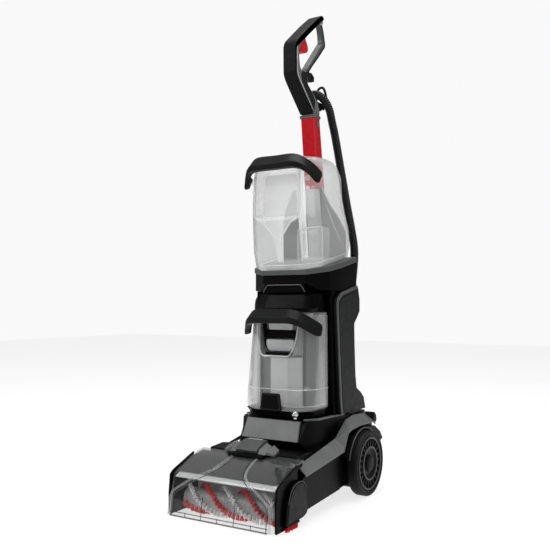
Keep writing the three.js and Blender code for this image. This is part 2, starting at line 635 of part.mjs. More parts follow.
function buildDirtyTank(upright) {
  const tank = body(upright);
  const inner = dirtyTankRings(-TANK_WALL, 196, 420);
  add(tank, "dirty_tank_shell", cut(loft(dirtyTankRings(0, 193, 400)), loft(inner)), "clear");
  const foot = [tankRing(50, 80, -154, -124, 84, -62, () => 179), tankRing(54, 84, -162, -133, 87, -62, () => 192.7)];
  add(tank, "dirty_tank_foot", loft(foot), "black");
  const lid = [tankRing(50, 80, -136, -110, 85, -62, () => 400.3), tankRing(48, 78, -120, -102, 84, -62, () => 408),
    tankRing(44, 74, -106, -92, 80, -62, () => 441)];
  add(tank, "dirty_tank_lid", loft(lid), "black");
  add(tank, "dirty_duct", prismZ(bothSides([[16, -92], [16, -70]]), 197, 398, 4), "grey");
  const floatRing = cut(prismZ(bothSides([[24, -120], [24, -98]]), 300, 330, 6), rodZ(5, 290, 340, 0, -109, 12));
  add(body(tank), "tank_float", floatRing, "red");
  add(body(tank), "dirty_bail", bail(DIRTY_BAIL), "black");
}

// ---- the whole machine --------------------------------------------------------------------
buildHead();
buildHood();
buildBrush();
buildWheel("right", 1);
buildWheel("left", -1);
buildUpright();
machine.position.y = AXLE_Y;
machine.updateMatrixWorld(true);

export default machine;
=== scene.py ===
# Upright carpet cleaner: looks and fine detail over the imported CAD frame. Sizes below are millimetres,
# with y from the wheel axle and z from the floor as in the CAD, and at() turns them into metres.
import bpy
import bmesh
import json
import math
import random
from mathutils import Matrix, Vector

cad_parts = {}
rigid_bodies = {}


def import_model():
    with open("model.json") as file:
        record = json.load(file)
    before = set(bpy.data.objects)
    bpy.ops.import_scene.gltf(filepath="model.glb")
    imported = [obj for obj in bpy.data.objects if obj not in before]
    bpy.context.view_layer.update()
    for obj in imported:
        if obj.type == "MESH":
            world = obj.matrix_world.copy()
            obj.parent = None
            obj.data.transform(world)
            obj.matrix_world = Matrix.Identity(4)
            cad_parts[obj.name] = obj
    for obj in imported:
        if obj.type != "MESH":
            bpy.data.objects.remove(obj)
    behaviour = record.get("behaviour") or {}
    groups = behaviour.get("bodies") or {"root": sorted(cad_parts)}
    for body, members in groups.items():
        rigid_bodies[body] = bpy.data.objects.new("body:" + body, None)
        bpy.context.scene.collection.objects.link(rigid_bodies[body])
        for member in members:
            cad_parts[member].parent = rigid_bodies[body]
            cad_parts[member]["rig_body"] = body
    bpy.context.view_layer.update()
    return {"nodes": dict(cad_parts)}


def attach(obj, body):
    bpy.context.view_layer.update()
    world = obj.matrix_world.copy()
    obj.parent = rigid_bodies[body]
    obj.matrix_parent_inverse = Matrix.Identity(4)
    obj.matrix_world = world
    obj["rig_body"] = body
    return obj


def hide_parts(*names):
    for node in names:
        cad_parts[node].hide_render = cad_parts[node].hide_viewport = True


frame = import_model()

AXLE_Y = 123.0
AXLE_Z = 70.0


def at(x, y, z):
    """A point of the CAD, in millimetres, as metres in the shared frame."""
    return Vector((x / 1000, (y + AXLE_Y) / 1000, z / 1000))


# ---- camera -------------------------------------------------------------------------------
CAMERA_PLACE = (822.0, -1472.1, 420.7)
CAMERA_LENS = 47.63
CAMERA_TILT = math.radians(2.168)
CAMERA_TURN = math.radians(31.875)
camera_data = bpy.data.cameras.new("view_camera")
camera_data.sensor_width = 36
camera_data.lens = CAMERA_LENS
camera = bpy.data.objects.new("view_camera", camera_data)
bpy.context.scene.collection.objects.link(camera)
camera.location = at(*CAMERA_PLACE)
camera.rotation_euler = (math.pi / 2 + CAMERA_TILT, 0, CAMERA_TURN)
bpy.context.scene.camera = camera


# ---- materials ----------------------------------------------------------------------------
def shader(name):
    """A new material with its nodes, its links and its surface shader."""
    material = bpy.data.materials.new(name)
    material.use_nodes = True
    nodes = material.node_tree.nodes
    return material, nodes, material.node_tree.links, nodes["Principled BSDF"]


def noise_at(nodes, links, scale, detail=3.0, stretch=None):
    place = nodes.new("ShaderNodeTexCoord")
    noise = nodes.new("ShaderNodeTexNoise")
    noise.inputs["Scale"].default_value = scale
    noise.inputs["Detail"].default_value = detail
    source = place.outputs["Object"]
    if stretch:
        mapping = nodes.new("ShaderNodeMapping")
        mapping.inputs["Scale"].default_value = stretch
        links.new(source, mapping.inputs["Vector"])
        source = mapping.outputs["Vector"]
    links.new(source, noise.inputs["Vector"])
    return noise.outputs["Fac"]


def ranged(nodes, links, value, low, high, start=0.3, end=0.7):
    """A value that runs from low to high while the one given runs from start to end."""
    span = nodes.new("ShaderNodeMapRange")
    span.inputs["From Min"].default_value = start
    span.inputs["From Max"].default_value = end
    span.inputs["To Min"].default_value = low
    span.inputs["To Max"].default_value = high
    links.new(value, span.inputs["Value"])
    return span.outputs["Result"]


def tinted(nodes, links, value, dark, light):
    """A colour between two others, mixed by a noise value."""
    ramp = nodes.new("ShaderNodeValToRGB")
    ramp.color_ramp.elements[0].position = 0.3
    ramp.color_ramp.elements[1].position = 0.7
    ramp.color_ramp.elements[0].color = (*dark, 1)
    ramp.color_ramp.elements[1].color = (*light, 1)
    links.new(value, ramp.inputs["Fac"])
    return ramp.outputs["Color"]


def moulded(name, colour, roughness, grain=0.05, grain_scale=1500, vary=0.12, specular=0.5):
    """Injection-moulded plastic: fine spark-eroded grain, faint flow mottling and uneven gloss."""
    material, nodes, links, base = shader(name)
    broad = noise_at(nodes, links, 22, 4)
    low = tuple(c * (1 - vary) for c in colour)
    high = tuple(min(1, c * (1 + vary)) for c in colour)
    links.new(tinted(nodes, links, broad, low, high), base.inputs["Base Color"])
    gloss = noise_at(nodes, links, 90, 5)
    links.new(ranged(nodes, links, gloss, roughness * 0.88, roughness * 1.12), base.inputs["Roughness"])
    bump = nodes.new("ShaderNodeBump")
    bump.inputs["Strength"].default_value = 0.6
    bump.inputs["Distance"].default_value = grain / 1000
    links.new(noise_at(nodes, links, grain_scale, 2), bump.inputs["Height"])
    links.new(bump.outputs["Normal"], base.inputs["Normal"])
    base.inputs["Specular IOR Level"].default_value = specular
    return material


def clear(name, colour, face_on, edge_on, tint=0.93, roughness=0.06):
    """Thin clear plastic: a tinted, nearly open wall, denser and glossier where it is seen edge on."""
    material, nodes, links, base = shader(name)
    base.inputs["Roughness"].default_value = 0.3
    base.inputs["Specular IOR Level"].default_value = 0.3
    cloud = noise_at(nodes, links, 14, 3)
    low = tuple(c * 0.92 for c in colour)
    links.new(tinted(nodes, links, cloud, low, colour), base.inputs["Base Color"])
    ripple = nodes.new("ShaderNodeBump")
    ripple.inputs["Strength"].default_value = 0.2
    ripple.inputs["Distance"].default_value = 0.0004
    links.new(noise_at(nodes, links, 26, 2), ripple.inputs["Height"])
    facing = nodes.new("ShaderNodeLayerWeight")
    facing.inputs["Blend"].default_value = 0.5
    share = ranged(nodes, links, facing.outputs["Facing"], face_on, edge_on, 0.3, 1.0)
    through = nodes.new("ShaderNodeBsdfTransparent")
    through.inputs["Color"].default_value = (tint, tint, tint, 1)
    wall = nodes.new("ShaderNodeMixShader")
    links.new(share, wall.inputs["Fac"])
    links.new(through.outputs["BSDF"], wall.inputs[1])
    links.new(base.outputs["BSDF"], wall.inputs[2])
    gloss = nodes.new("ShaderNodeBsdfGlossy")
    gloss.inputs["Roughness"].default_value = roughness
    links.new(ripple.outputs["Normal"], gloss.inputs["Normal"])
    mirror = ranged(nodes, links, facing.outputs["Facing"], 0.025, 0.5, 0.4, 1.0)
    coat = nodes.new("ShaderNodeMixShader")
    links.new(mirror, coat.inputs["Fac"])
    links.new(wall.outputs["Shader"], coat.inputs[1])
    links.new(gloss.outputs["BSDF"], coat.inputs[2])
    links.new(coat.outputs["Shader"], nodes["Material Output"].inputs["Surface"])
    return material


def metal(name, colour, roughness):
    material, nodes, links, base = shader(name)
    base.inputs["Metallic"].default_value = 1
    brushed = noise_at(nodes, links, 160, 4, (0.05, 1, 1))
    low = tuple(c * 0.85 for c in colour)
    links.new(tinted(nodes, links, brushed, low, colour), base.inputs["Base Color"])
    links.new(ranged(nodes, links, brushed, roughness * 0.7, roughness * 1.3), base.inputs["Roughness"])
    return material


BLACK = moulded("black_plastic", (0.0012, 0.0013, 0.0013), 0.34, specular=0.06)
SATIN = moulded("satin_black", (0.005, 0.0053, 0.0053), 0.42, specular=0.14)
DARK = moulded("charcoal_plastic", (0.0085, 0.0092, 0.009), 0.5, grain=0.09, grain_scale=1100, specular=0.16)
TRIM = moulded("mid_grey_plastic", (0.06, 0.063, 0.063), 0.42)
GREY = moulded("grey_plastic", (0.12, 0.124, 0.124), 0.4)
LIGHT = moulded("light_grey_plastic", (0.42, 0.43, 0.435), 0.4)
PALE = moulded("pale_liner_plastic", (0.55, 0.56, 0.56), 0.5)
CORE = moulded("brush_core_plastic", (0.34, 0.345, 0.345), 0.45)
RED = moulded("red_plastic", (0.52, 0.005, 0.012), 0.28, grain=0.02, vary=0.05, specular=0.22)
SOFT = moulded("soft_grip_rubber", (0.0035, 0.0037, 0.0038), 0.5, grain=0.12, grain_scale=700, specular=0.1)
TYRE = moulded("tyre_rubber", (0.004, 0.0042, 0.0043), 0.55, grain=0.15, grain_scale=500, specular=0.18)
HOSE = moulded("hose_rubber", (0.004, 0.0042, 0.0043), 0.4, grain=0.04, specular=0.25)
BRISTLE_RED = moulded("red_bristle", (0.70, 0.010, 0.018), 0.4, grain=0.02, vary=0.25)
BRISTLE_WHITE = moulded("white_bristle", (0.85, 0.86, 0.86), 0.4, grain=0.02, vary=0.08)
STEEL = metal("bright_steel", (0.62, 0.63, 0.64), 0.22)
CLEAR = clear("clear_tank_plastic", (0.74, 0.75, 0.75), 0.10, 0.55, 0.98)
FROSTED = clear("frosted_tank_plastic", (0.82, 0.83, 0.83), 0.42, 0.7, 0.98)
SMOKED = moulded("smoked_back_plate", (0.14, 0.145, 0.145), 0.3, grain=0.01)
# Lighter, denser clear for the tanks' rims, creases, lines and bosses: painted highlight along real edges.
CLEAR_EDGE_HIGHLIGHT = clear("clear_tank_edge_highlight", (0.88, 0.89, 0.89), 0.35, 0.8, 0.95)
HOOD_CLEAR = clear("clear_hood_plastic", (0.22, 0.225, 0.225), 0.03, 0.3, 0.93)
# Lighter, denser clear for the hood's raised ribs: painted highlight along real ribs.
HOOD_EDGE_HIGHLIGHT = clear("clear_hood_edge_highlight", (0.62, 0.63, 0.63), 0.12, 0.55, 0.93)
# Dark clear for the hood's lip ribs and the lines inside its ribs: painted shade for the dark lines that
# refraction draws along these edges.
HOOD_SHADE_EDGE = clear("clear_hood_shade_edge", (0.05, 0.052, 0.052), 0.5, 0.85, 0.9)
SEE_THROUGH = (CLEAR, CLEAR_EDGE_HIGHLIGHT, FROSTED, HOOD_CLEAR, HOOD_EDGE_HIGHLIGHT, HOOD_SHADE_EDGE)


# ---- mesh building ------------------------------------------------------------------------
def prism(axis, outline, a, b):
    """Outline points are (y, z), (x, z) or (x, y) for axis x, y or z."""
    place = {
        "x": lambda u, v, w: (w, u, v),
        "y": lambda u, v, w: (u, w, v),
        "z": lambda u, v, w: (u, v, w),
    }[axis]
    n = len(outline)
    points = [place(u, v, a) for u, v in outline] + [place(u, v, b) for u, v in outline]
    faces = [list(range(n))[::-1], [n + i for i in range(n)]]
    faces += [[i, (i + 1) % n, n + (i + 1) % n, n + i] for i in range(n)]
    return points, faces


def loft(rings):
    """A solid through rings of as many points each, closed flat at its two ends."""
    n = len(rings[0])
    points = [p for ring in rings for p in ring]
    last = (len(rings) - 1) * n
    faces = [list(range(n))[::-1], [last + i for i in range(n)]]
    for r in range(len(rings) - 1):
        a, b = r * n, (r + 1) * n
        faces += [[a + i, a + (i + 1) % n, b + (i + 1) % n, b + i] for i in range(n)]
    return points, faces


def stacked(plan, *heights):
    """One ring of an (x, y) plan at each height, for a loft."""
    return [[(x, y, z) for x, y in plan] for z in heights]


def lathe(axis, profile, centre, sides=48, closed=False):
    """profile is (radius, place along the axis); a radius of 0 closes the end in one point."""
    points, rows = [], []
    for radius, along in profile:
        row = []
        for i in range(sides if radius > 0 else 1):
            angle = i / sides * math.tau
            u, v = radius * math.cos(angle), radius * math.sin(angle)
            row.append(len(points))
            offset = {"x": (along, u, v), "y": (u, along, v), "z": (u, v, along)}[axis]
            points.append(tuple(c + o for c, o in zip(centre, offset)))
        rows.append(row)
    faces = []
    pairs = list(zip(rows, rows[1:])) + ([(rows[-1], rows[0])] if closed else [])
    for a, b in pairs:
        for i in range(sides):
            j = (i + 1) % sides
            corners = [a[i % len(a)], a[j % len(a)], b[j % len(b)], b[i % len(b)]]
            faces.append(list(dict.fromkeys(corners)))
    if not closed:
        faces += [row for row in (rows[0], rows[-1]) if len(row) > 2]
    return points, faces


def smooth_line(points, step):
    """A centripetal Catmull-Rom curve through the points, sampled about every `step`."""
    line = [Vector(p) for p in points]
    line = [2 * line[0] - line[1]] + line + [2 * line[-1] - line[-2]]
    out = []
    for p0, p1, p2, p3 in zip(line, line[1:], line[2:], line[3:]):
        d1, d2, d3 = (max((b - a).length, 1e-6) ** 0.5 for a, b in ((p0, p1), (p1, p2), (p2, p3)))
        m1 = ((p1 - p0) / d1 - (p2 - p0) / (d1 + d2) + (p2 - p1) / d2) * d2
        m2 = ((p2 - p1) / d2 - (p3 - p1) / (d2 + d3) + (p3 - p2) / d3) * d2
        count = max(1, round((p2 - p1).length / step))
        for i in range(count):
            t = i / count
            out.append(p1 * (2 * t**3 - 3 * t**2 + 1) + m1 * (t**3 - 2 * t**2 + t)
                       + p2 * (3 * t**2 - 2 * t**3) + m2 * (t**3 - t**2))
    return out + [line[-2]]


def evenly(points, step):
    """The same line with its points about `step` apart, and its length."""
    total = sum((b - a).length for a, b in zip(points, points[1:]))
    count = max(2, round(total / step))
    out, walked, i = [points[0]], 0.0, 0
    for k in range(1, count):
        goal = total * k / count
        while walked + (points[i + 1] - points[i]).length < goal:
            walked += (points[i + 1] - points[i]).length
            i += 1
        part = (goal - walked) / (points[i + 1] - points[i]).length
        out.append(points[i].lerp(points[i + 1], part))
    return out + [points[-1]], total


def tube(points, radius, sides=10, closed=False):
    """A tube along points; radius is a number or a list with one for each point."""
    line = [Vector(p) for p in points]
    n = len(line)
    sizes = radius if isinstance(radius, list) else [radius] * n
    ways = []
    for i in range(n):
        before = line[i - 1] if i or closed else line[0]
        after = line[(i + 1) % n] if i + 1 < n or closed else line[-1]
        ways.append((after - before).normalized())
    side = ways[0].orthogonal().normalized()
    rings = []
    for i in range(n):
        side = (side - ways[i] * side.dot(ways[i])).normalized()
        up = ways[i].cross(side)
        ring = []
        for k in range(sides):
            angle = k / sides * math.tau
            ring.append(line[i] + sizes[i] * (side * math.cos(angle) + up * math.sin(angle)))
        rings.append(ring)
    if not closed:
        return loft(rings)
    faces = []
    for r in range(n):
        a, b = r * sides, ((r + 1) % n) * sides
        faces += [[a + i, a + (i + 1) % sides, b + (i + 1) % sides, b + i] for i in range(sides)]
    return [p for ring in rings for p in ring], faces


def beside(points, distance):
    """An open line of (y, z) points moved sideways, to its right as it is walked."""
    line = [Vector(p) for p in points]

    def normal(a, b):
        return Vector((b.y - a.y, a.x - b.x)).normalized()

    out = []
    for i, point in enumerate(line):
        before = normal(line[i - 1], point) if i else normal(point, line[i + 1])
        after = normal(point, line[i + 1]) if i + 1 < len(line) else before
        middle = (before + after).normalized()
        moved = point + middle * (distance / middle.dot(after))
        out.append((moved.x, moved.y))
    return out


def eased_corner(before, corner, after, radius, steps):
    """The points of a rounded corner, which takes up less than half of each line that it joins."""
    reach = min(radius, (corner - before).length * 0.45, (after - corner).length * 0.45)
    a = corner + (before - corner).normalized() * reach
    b = corner + (after - corner).normalized() * reach
    ts = [k / steps for k in range(steps + 1)]
    return [tuple(a * (1 - t) ** 2 + corner * (2 * t * (1 - t)) + b * t**2) for t in ts]


def rounded_line(points, radius, steps=5):
    """An open (u, v) line whose inner corners are rounded."""
    line = [Vector(p) for p in points]
    out = [tuple(line[0])]
    for corner in zip(line, line[1:], line[2:]):
        out += eased_corner(*corner, radius, steps)
    return out + [tuple(line[-1])]


def rounded_ring(points, radius, steps=4):
    """A closed (u, v) outline with every corner rounded."""
    line = [Vector(p) for p in points]
    out = []
    for corner in zip(line[-1:] + line, line, line[1:] + line[:1]):
        out += eased_corner(*corner, radius, steps)
    return out


def mirror_x(part):
    points, faces = part
    return [(-p[0], p[1], p[2]) for p in points], [face[::-1] for face in faces]


def pair(part):
    """A part and its mirror image on the other side."""
    return [part, mirror_x(part)]


def on_side(side):
    """What turns a part made for the right into one for this side."""
    return (lambda part: part) if side > 0 else mirror_x


SIDES = ((1, "right"), (-1, "left"))


def both(half):
    """A closed (x, v) outline from its right half."""
    return list(half) + [(-x, y) for x, y in reversed(half)]


def bar(centre, size, turn=None):
    """A small block round `centre`, turned by a matrix; used inside larger bundles and frames."""
    a, b, c = (s / 2 for s in size)
    corners = [Vector(p) for p in ((-a, -b, -c), (a, -b, -c), (a, b, -c), (-a, b, -c),
                                   (-a, -b, c), (a, -b, c), (a, b, c), (-a, b, c))]
    if turn is not None:
        corners = [turn @ p for p in corners]
    faces = [[3, 2, 1, 0], [4, 5, 6, 7], [0, 1, 5, 4], [1, 2, 6, 5], [2, 3, 7, 6], [3, 0, 4, 7]]
    return [p + Vector(centre) for p in corners], faces


def solid_mesh(name, parts):
    """A mesh in the frame from closed parts, each a list of points and a list of faces."""
    mesh = bpy.data.meshes.new(name)
    work = bmesh.new()
    for points, faces in parts:
        corners = [work.verts.new(at(*p)) for p in points]
        for face in faces:
            work.faces.new([corners[i] for i in face])
    bmesh.ops.recalc_face_normals(work, faces=work.faces)
    work.to_mesh(mesh)
    work.free()
    return mesh


def add(name, parts, material, body, width=0.0, segments=3, replaces=(), angle=28):
    """One piece from one or more closed parts, with rounded edges of `width` millimetres."""
    mesh = solid_mesh(name, parts if isinstance(parts, list) else [parts])
    return finish_piece(mesh, name, material, body, width, segments, replaces, angle)


SHARP_TURN = math.radians(35)


def sharpen(mesh):
    """Marks the edges that turn by more than SHARP_TURN, so the rest shade smoothly."""
    work = bmesh.new()
    work.from_mesh(mesh)
    for edge in work.edges:
        edge.smooth = len(edge.link_faces) == 2 and edge.calc_face_angle(0) < SHARP_TURN
    work.to_mesh(mesh)
    work.free()


def finish_piece(mesh, name, material, body, width, segments=3, replaces=(), angle=28):
    mesh.polygons.foreach_set("use_smooth", [True] * len(mesh.polygons))
    piece = bpy.data.objects.new(name, mesh)
    bpy.context.scene.collection.objects.link(piece)
    mesh.materials.append(material)
    piece.visible_shadow = material not in SEE_THROUGH
    if width:
        rounding = piece.modifiers.new("rounding", "BEVEL")
        rounding.width = width / 1000
        rounding.segments = segments
        rounding.limit_method = "ANGLE"
        rounding.angle_limit = math.radians(angle)
        rounding.miter_outer = "MITER_ARC"
        shading = piece.modifiers.new("shading", "WEIGHTED_NORMAL")
        shading.keep_sharp = True
    else:
        sharpen(mesh)
    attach(piece, body)
    if replaces:
        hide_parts(*replaces)
    return piece


def cut_away(piece, tool):
    """Takes the tool's mesh out of the piece's own mesh, before its edges are rounded."""
    cut = piece.modifiers.new("cut", "BOOLEAN")
    cut.operation = "DIFFERENCE"
    cut.solver = "EXACT"
    cut.object = tool
    held = [m for m in piece.modifiers if m.name != "cut"]
    for modifier in held:
        modifier.show_viewport = False
    graph = bpy.context.evaluated_depsgraph_get()
    result = bpy.data.meshes.new_from_object(piece.evaluated_get(graph))
    piece.modifiers.remove(cut)
    for modifier in held:
        modifier.show_viewport = True
    piece.data = result
    bpy.data.objects.remove(tool)


def block(part):
    """A plain object in the frame for cutting with; it is gone after its cut."""
    tool = bpy.data.objects.new("cutter", solid_mesh("cutter", [part]))
    bpy.context.scene.collection.objects.link(tool)
    return tool


def bare(part, *cutters):
    """A cutting block with others already taken out of it."""
    tool = block(part)
    for cutter in cutters:
        cut_away(tool, block(cutter))
    return tool


def carved(piece, *cutters):
    """The piece with each cutter, a part or a cutting block, taken out of it."""
    for cutter in cutters:
        cut_away(piece, cutter if isinstance(cutter, bpy.types.Object) else block(cutter))
    piece.data.polygons.foreach_set("use_smooth", [True] * len(piece.data.polygons))
    if not piece.modifiers:
        sharpen(piece.data)
    return piece


def from_cad(node, material, width):
    """A copy of a CAD solid with its flat faces whole again and its edges rounded."""
    mesh = frame["nodes"][node].data.copy()
    mesh.materials.clear()
    work = bmesh.new()
    work.from_mesh(mesh)
    bmesh.ops.remove_doubles(work, verts=work.verts, dist=1e-5)
    bmesh.ops.dissolve_limit(work, angle_limit=math.radians(1), verts=work.verts, edges=work.edges)
    bmesh.ops.recalc_face_normals(work, faces=work.faces)
    work.to_mesh(mesh)
    work.free()
    mesh.update()
    body = frame["nodes"][node]["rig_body"]
    return finish_piece(mesh, f"{node}_shape", material, body, width, replaces=(node,))


# ---- hose ---------------------------------------------------------------------------------
HOSE_R = 10.0
HOSE_ROUTE = [
    (43, 92, 185.3), (43, 92, 230), (43, 91, 290), (44, 90, 345), (48, 91, 395), (60, 91, 440), (69, 90, 490),
    (72, 90, 545), (67, 88, 587), (54, 86, 658), (40, 82, 745), (30, 72, 824), (26, 66, 853), (22, 61, 880),
    (14, 57, 900), (1, 54, 915), (-15, 56, 923), (-33, 61, 920), (-48, 74, 905), (-58, 89, 878),
    (-60, 99, 845), (-58, 102, 780), (-56, 102, 700), (-53, 101, 610), (-48, 101, 520), (-53, 96, 435),
    (-58, 92, 365), (-58, 92, 330.3),
]
RIB_PITCH = 5.2
RIB_DEPTHS = (1.5, 0.3, 0.0, 0.3)


def build_hose():
    line, length = evenly(smooth_line(HOSE_ROUTE, 3), RIB_PITCH / len(RIB_DEPTHS))
    radii = [HOSE_R - RIB_DEPTHS[i % len(RIB_DEPTHS)] for i in range(len(line))]
    radii[0] = radii[-1] = HOSE_R - 1
    hose = add("ribbed_hose", tube(line, radii, 20), HOSE, "upright", replaces=("hose",))


# ---- wheels -------------------------------------------------------------------------------
SPOKES = 22


def wheel(name, side):
    body = f"wheel_{name}"
    turn = on_side(side)

    def turned(profile, sides, closed=True):
        return turn(lathe("x", profile, (0, 0, AXLE_Z), sides, closed))

    tyre = [(57.4, 128.5), (60, 127.6), (66, 127), (68.6, 128.2), (70, 131), (70, 135), (69, 135.5),
            (69, 137), (70, 137.5), (70, 142.5), (69, 143), (69, 144.5), (70, 145), (70, 149), (68.8, 151.6),
            (66, 152.8), (63.5, 152.4), (62.6, 151.2), (60.5, 151.2), (59.6, 152.2), (57.4, 151.4)]
    add(f"tyre_{name}_moulded", turned(tyre, 96), TYRE, body, replaces=(f"tyre_{name}",))
    disc = [(8.4, 130), (57, 130), (57, 150.4), (56, 151.6), (53.6, 151.6), (52.6, 150.6), (52.2, 144.5),
            (37.8, 144.5), (37.2, 150.4), (36, 151.8), (33.4, 151.8), (32.2, 150.6), (30, 148.4), (24, 146.2),
            (19, 146), (17.4, 147.4), (16.6, 151.6), (15.2, 152.8), (8.4, 152.8)]
    add(f"rim_{name}_moulded", turned(disc, 88), SATIN, body, replaces=(f"rim_{name}",))
    spokes = []
    for i in range(SPOKES):
        way = Matrix.Rotation((i + 0.5) / SPOKES * math.tau, 3, "X")
        middle = way @ Vector((0, 0, 45))
        spokes.append(turn(bar((147.2, middle.y, AXLE_Z + middle.z), (6, 4.4, 15.4), way)))
    # The spokes are a little lighter than the rim: painted highlight for the bright lines along them.
    add(f"spokes_{name}", spokes, DARK, body, width=0.7, segments=2)
    ring = [(33.2, 151.2), (33.2, 152.3), (34, 152.9), (35.6, 152.9), (36.4, 152.3), (36.4, 151.2)]
    lip = [(53.2, 151), (53.2, 152), (54, 152.6), (55.4, 152.6), (56.2, 152), (56.2, 151)]
    add(f"rim_rings_{name}", [turned(ring, 72), turned(lip, 88)], TRIM, body)
    cap = [(0, 155.2), (6.6, 155.2), (7.4, 154.4), (8.6, 154.4), (9.4, 155.2), (12, 154.8), (14.2, 153.6),
           (14.8, 151.9), (14.8, 150.4), (0, 150.4)]
    add(f"hub_cap_{name}", turned(cap, 48, closed=False), DARK, body)


for wheel_side, wheel_name in SIDES:
    wheel(wheel_name, wheel_side)


# ---- floor head ---------------------------------------------------------------------------
HOOD_LINE = [(-358, 5), (-352, 44), (-343, 81), (-335, 87), (-270, 112), (-240, 117)]
HOOD_HALF = 121
HOOD_WALL = 2.6


def on_hood(x, z=None, y=None, proud=0.0):
    """A point on the outside of the hood at this height, or at this y for its top."""
    line = HOOD_LINE
    for (y0, z0), (y1, z1) in zip(line, line[1:]):
        value, a, b = (z, z0, z1) if z is not None else (y, y0, y1)
        if min(a, b) - 1e-6 <= value <= max(a, b) + 1e-6:
            t = (value - a) / (b - a)
            normal = Vector((-(z1 - z0), y1 - y0)).normalized()
            return (x, y0 + (y1 - y0) * t + normal.x * proud, z0 + (z1 - z0) * t + normal.y * proud)
    raise ValueError("not on the hood")


def build_hood():
    outer = rounded_line(HOOD_LINE, 12, 6)
    inner = beside(outer, HOOD_WALL)
    end = [(HOOD_HALF, 9), (HOOD_HALF - 2, 4), (HOOD_HALF - 6, 0.8), (HOOD_HALF - 11, 0)]
    rings = []
    for x, back in [(-x, back) for x, back in end] + end[::-1]:
        shift = [max(0.0, min(1.0, (-300 - y) / 50)) * back for y, z in outer]
        line = [(y + s, z) for (y, z), s in zip(outer, shift)]
        under = [(y + s, z) for (y, z), s in zip(inner, shift)]
        rings.append([(x, y, z) for y, z in line] + [(x, y, z) for y, z in reversed(under)])
    add("clear_hood", loft(rings), HOOD_CLEAR, "hood", replaces=("nozzle_hood",))
    ridge = [on_hood(29, y=-258, proud=0.6), on_hood(32, y=-290, proud=0.6), on_hood(39, y=-318, proud=0.6),
             on_hood(52, y=-334, proud=0.2), on_hood(69, z=79, proud=0.2), on_hood(84, z=70, proud=0.4),
             on_hood(99, z=60, proud=0.4), on_hood(112, z=50, proud=0.4), on_hood(115.5, z=40, proud=0.4),
             on_hood(116, z=26, proud=0.4), on_hood(116.5, z=7, proud=0.4)]
    # The raised ribs take the lighter clear, a painted highlight along them.
    add("hood_ridges", pair(tube(smooth_line(ridge, 3), 2.5, 8)), HOOD_EDGE_HIGHLIGHT, "hood")
    # A thin dark line just inside each rib: painted shade for the dark refraction line beside it.
    second = smooth_line([(x - 7, y, z) for x, y, z in ridge[:3]]
                         + [(x - 6, y, z - 2.5) for x, y, z in ridge[3:8]]
                         + [(x - 7, y, z) for x, y, z in ridge[8:]], 3)
    add("hood_inner_ridges", pair(tube(second, 1.1, 8)), HOOD_SHADE_EDGE, "hood")
    # The lip ribs and ticks along the hood's foot are painted dark: painted shade for the dark refraction
    # along that edge.
    lips = []
    for z, size in ((6.2, 1.6), (13.5, 1.0)):
        lips.append(tube([on_hood(x, z=z, proud=0.3) for x in range(-112, 113, 16)], size, 8))
    for x, low, high in ((-76, 6, 15), (-38, 6, 48), (0, 6, 15), (38, 6, 48), (76, 6, 15)):
        steps = [low + (high - low) * k / 5 for k in range(6)]
        lips.append(tube([on_hood(x, z=z, proud=0.4) for z in steps], 0.9, 6))
    add("hood_lip_ribs", lips, HOOD_SHADE_EDGE, "hood")


def build_liner():
    """The pale duct behind the brush and the black skin under the top of the clear hood."""
    # The wall runs forward under the hood's crest, where its pale colour gives a painted highlight band along
    # the crest; the rest is the real pale duct.
    wall = [(-265, 14), (-265, 54), (-270, 70), (-282, 80), (-300, 84), (-326, 81), (-337, 75)]
    sheet = rounded_line(wall, 8, 4)
    back = beside(sheet, 2.2)
    add("brush_liner", prism("x", sheet + back[::-1], -116, 116), PALE, "base", width=0.5, segments=1)
    roof = [(-325, 85.4), (-271, 107.8), (-243, 112.6), (-243, 106), (-263.5, 100), (-272, 92), (-300, 87.4)]
    add("hood_underskin", prism("x", roof, -120.4, 120.4), BLACK, "base", width=0.6, segments=2)


BRUSH_Y, BRUSH_Z = -302, 31
BRISTLES = 26
TUFTS_IN_ROW = 32
TUFT_PITCH = 6.52


def bristle(foot, tip, thick):
    way = tip - foot
    return bar((foot + tip) / 2, (thick, thick, way.length), way.to_track_quat("Z", "X").to_matrix())


def tuft(rng, angle, x):
    """One fan of stiff bristles standing on the core."""
    parts = []
    for _ in range(BRISTLES):
        a = angle + rng.uniform(-1, 1) * 0.17
        dx = rng.uniform(-1, 1) * 2.3
        out = Vector((0, -math.sin(a), math.cos(a)))
        tip = Vector((x + dx + 0.6, BRUSH_Y, BRUSH_Z)) + out * rng.uniform(28.0, 29.6)
        foot = Vector((x + dx * 0.55, BRUSH_Y, BRUSH_Z)) + out * 19
        parts.append(bristle(foot, tip, 1.25))
    return parts


def build_brush():
    """The ringed core and its four helical rows of tufts, red and white in turn."""
    rng = random.Random(4)
    core = [(0, -112), (9, -112), (9, -108), (20, -108), (20, -105)]
    for i in range(20):
        x = -100 + i * 10
        core += [(19.1, x - 1), (19.1, x + 1), (19.5, x + 1.4), (19.5, x + 8.6)]
    core += [(20, 105), (20, 108), (9, 108), (9, 112), (0, 112)]
    add("brush_core_turned", lathe("x", core, (0, BRUSH_Y, BRUSH_Z), 40), CORE, "brush_roll",
        replaces=("brush_core",))
    red, white = [], []
    turn_length = 186.0
    crest = -64.0
    for row in range(4):
        for i in range(TUFTS_IN_ROW):
            x = -101 + i * TUFT_PITCH
            angle = row * math.pi / 2 + (x - crest) / turn_length * math.tau
            (white if row % 2 else red).extend(tuft(rng, angle, x))
    add("bristles_red", red, BRISTLE_RED, "brush_roll", replaces=("brush_tufts",))
    add("bristles_white", white, BRISTLE_WHITE, "brush_roll")


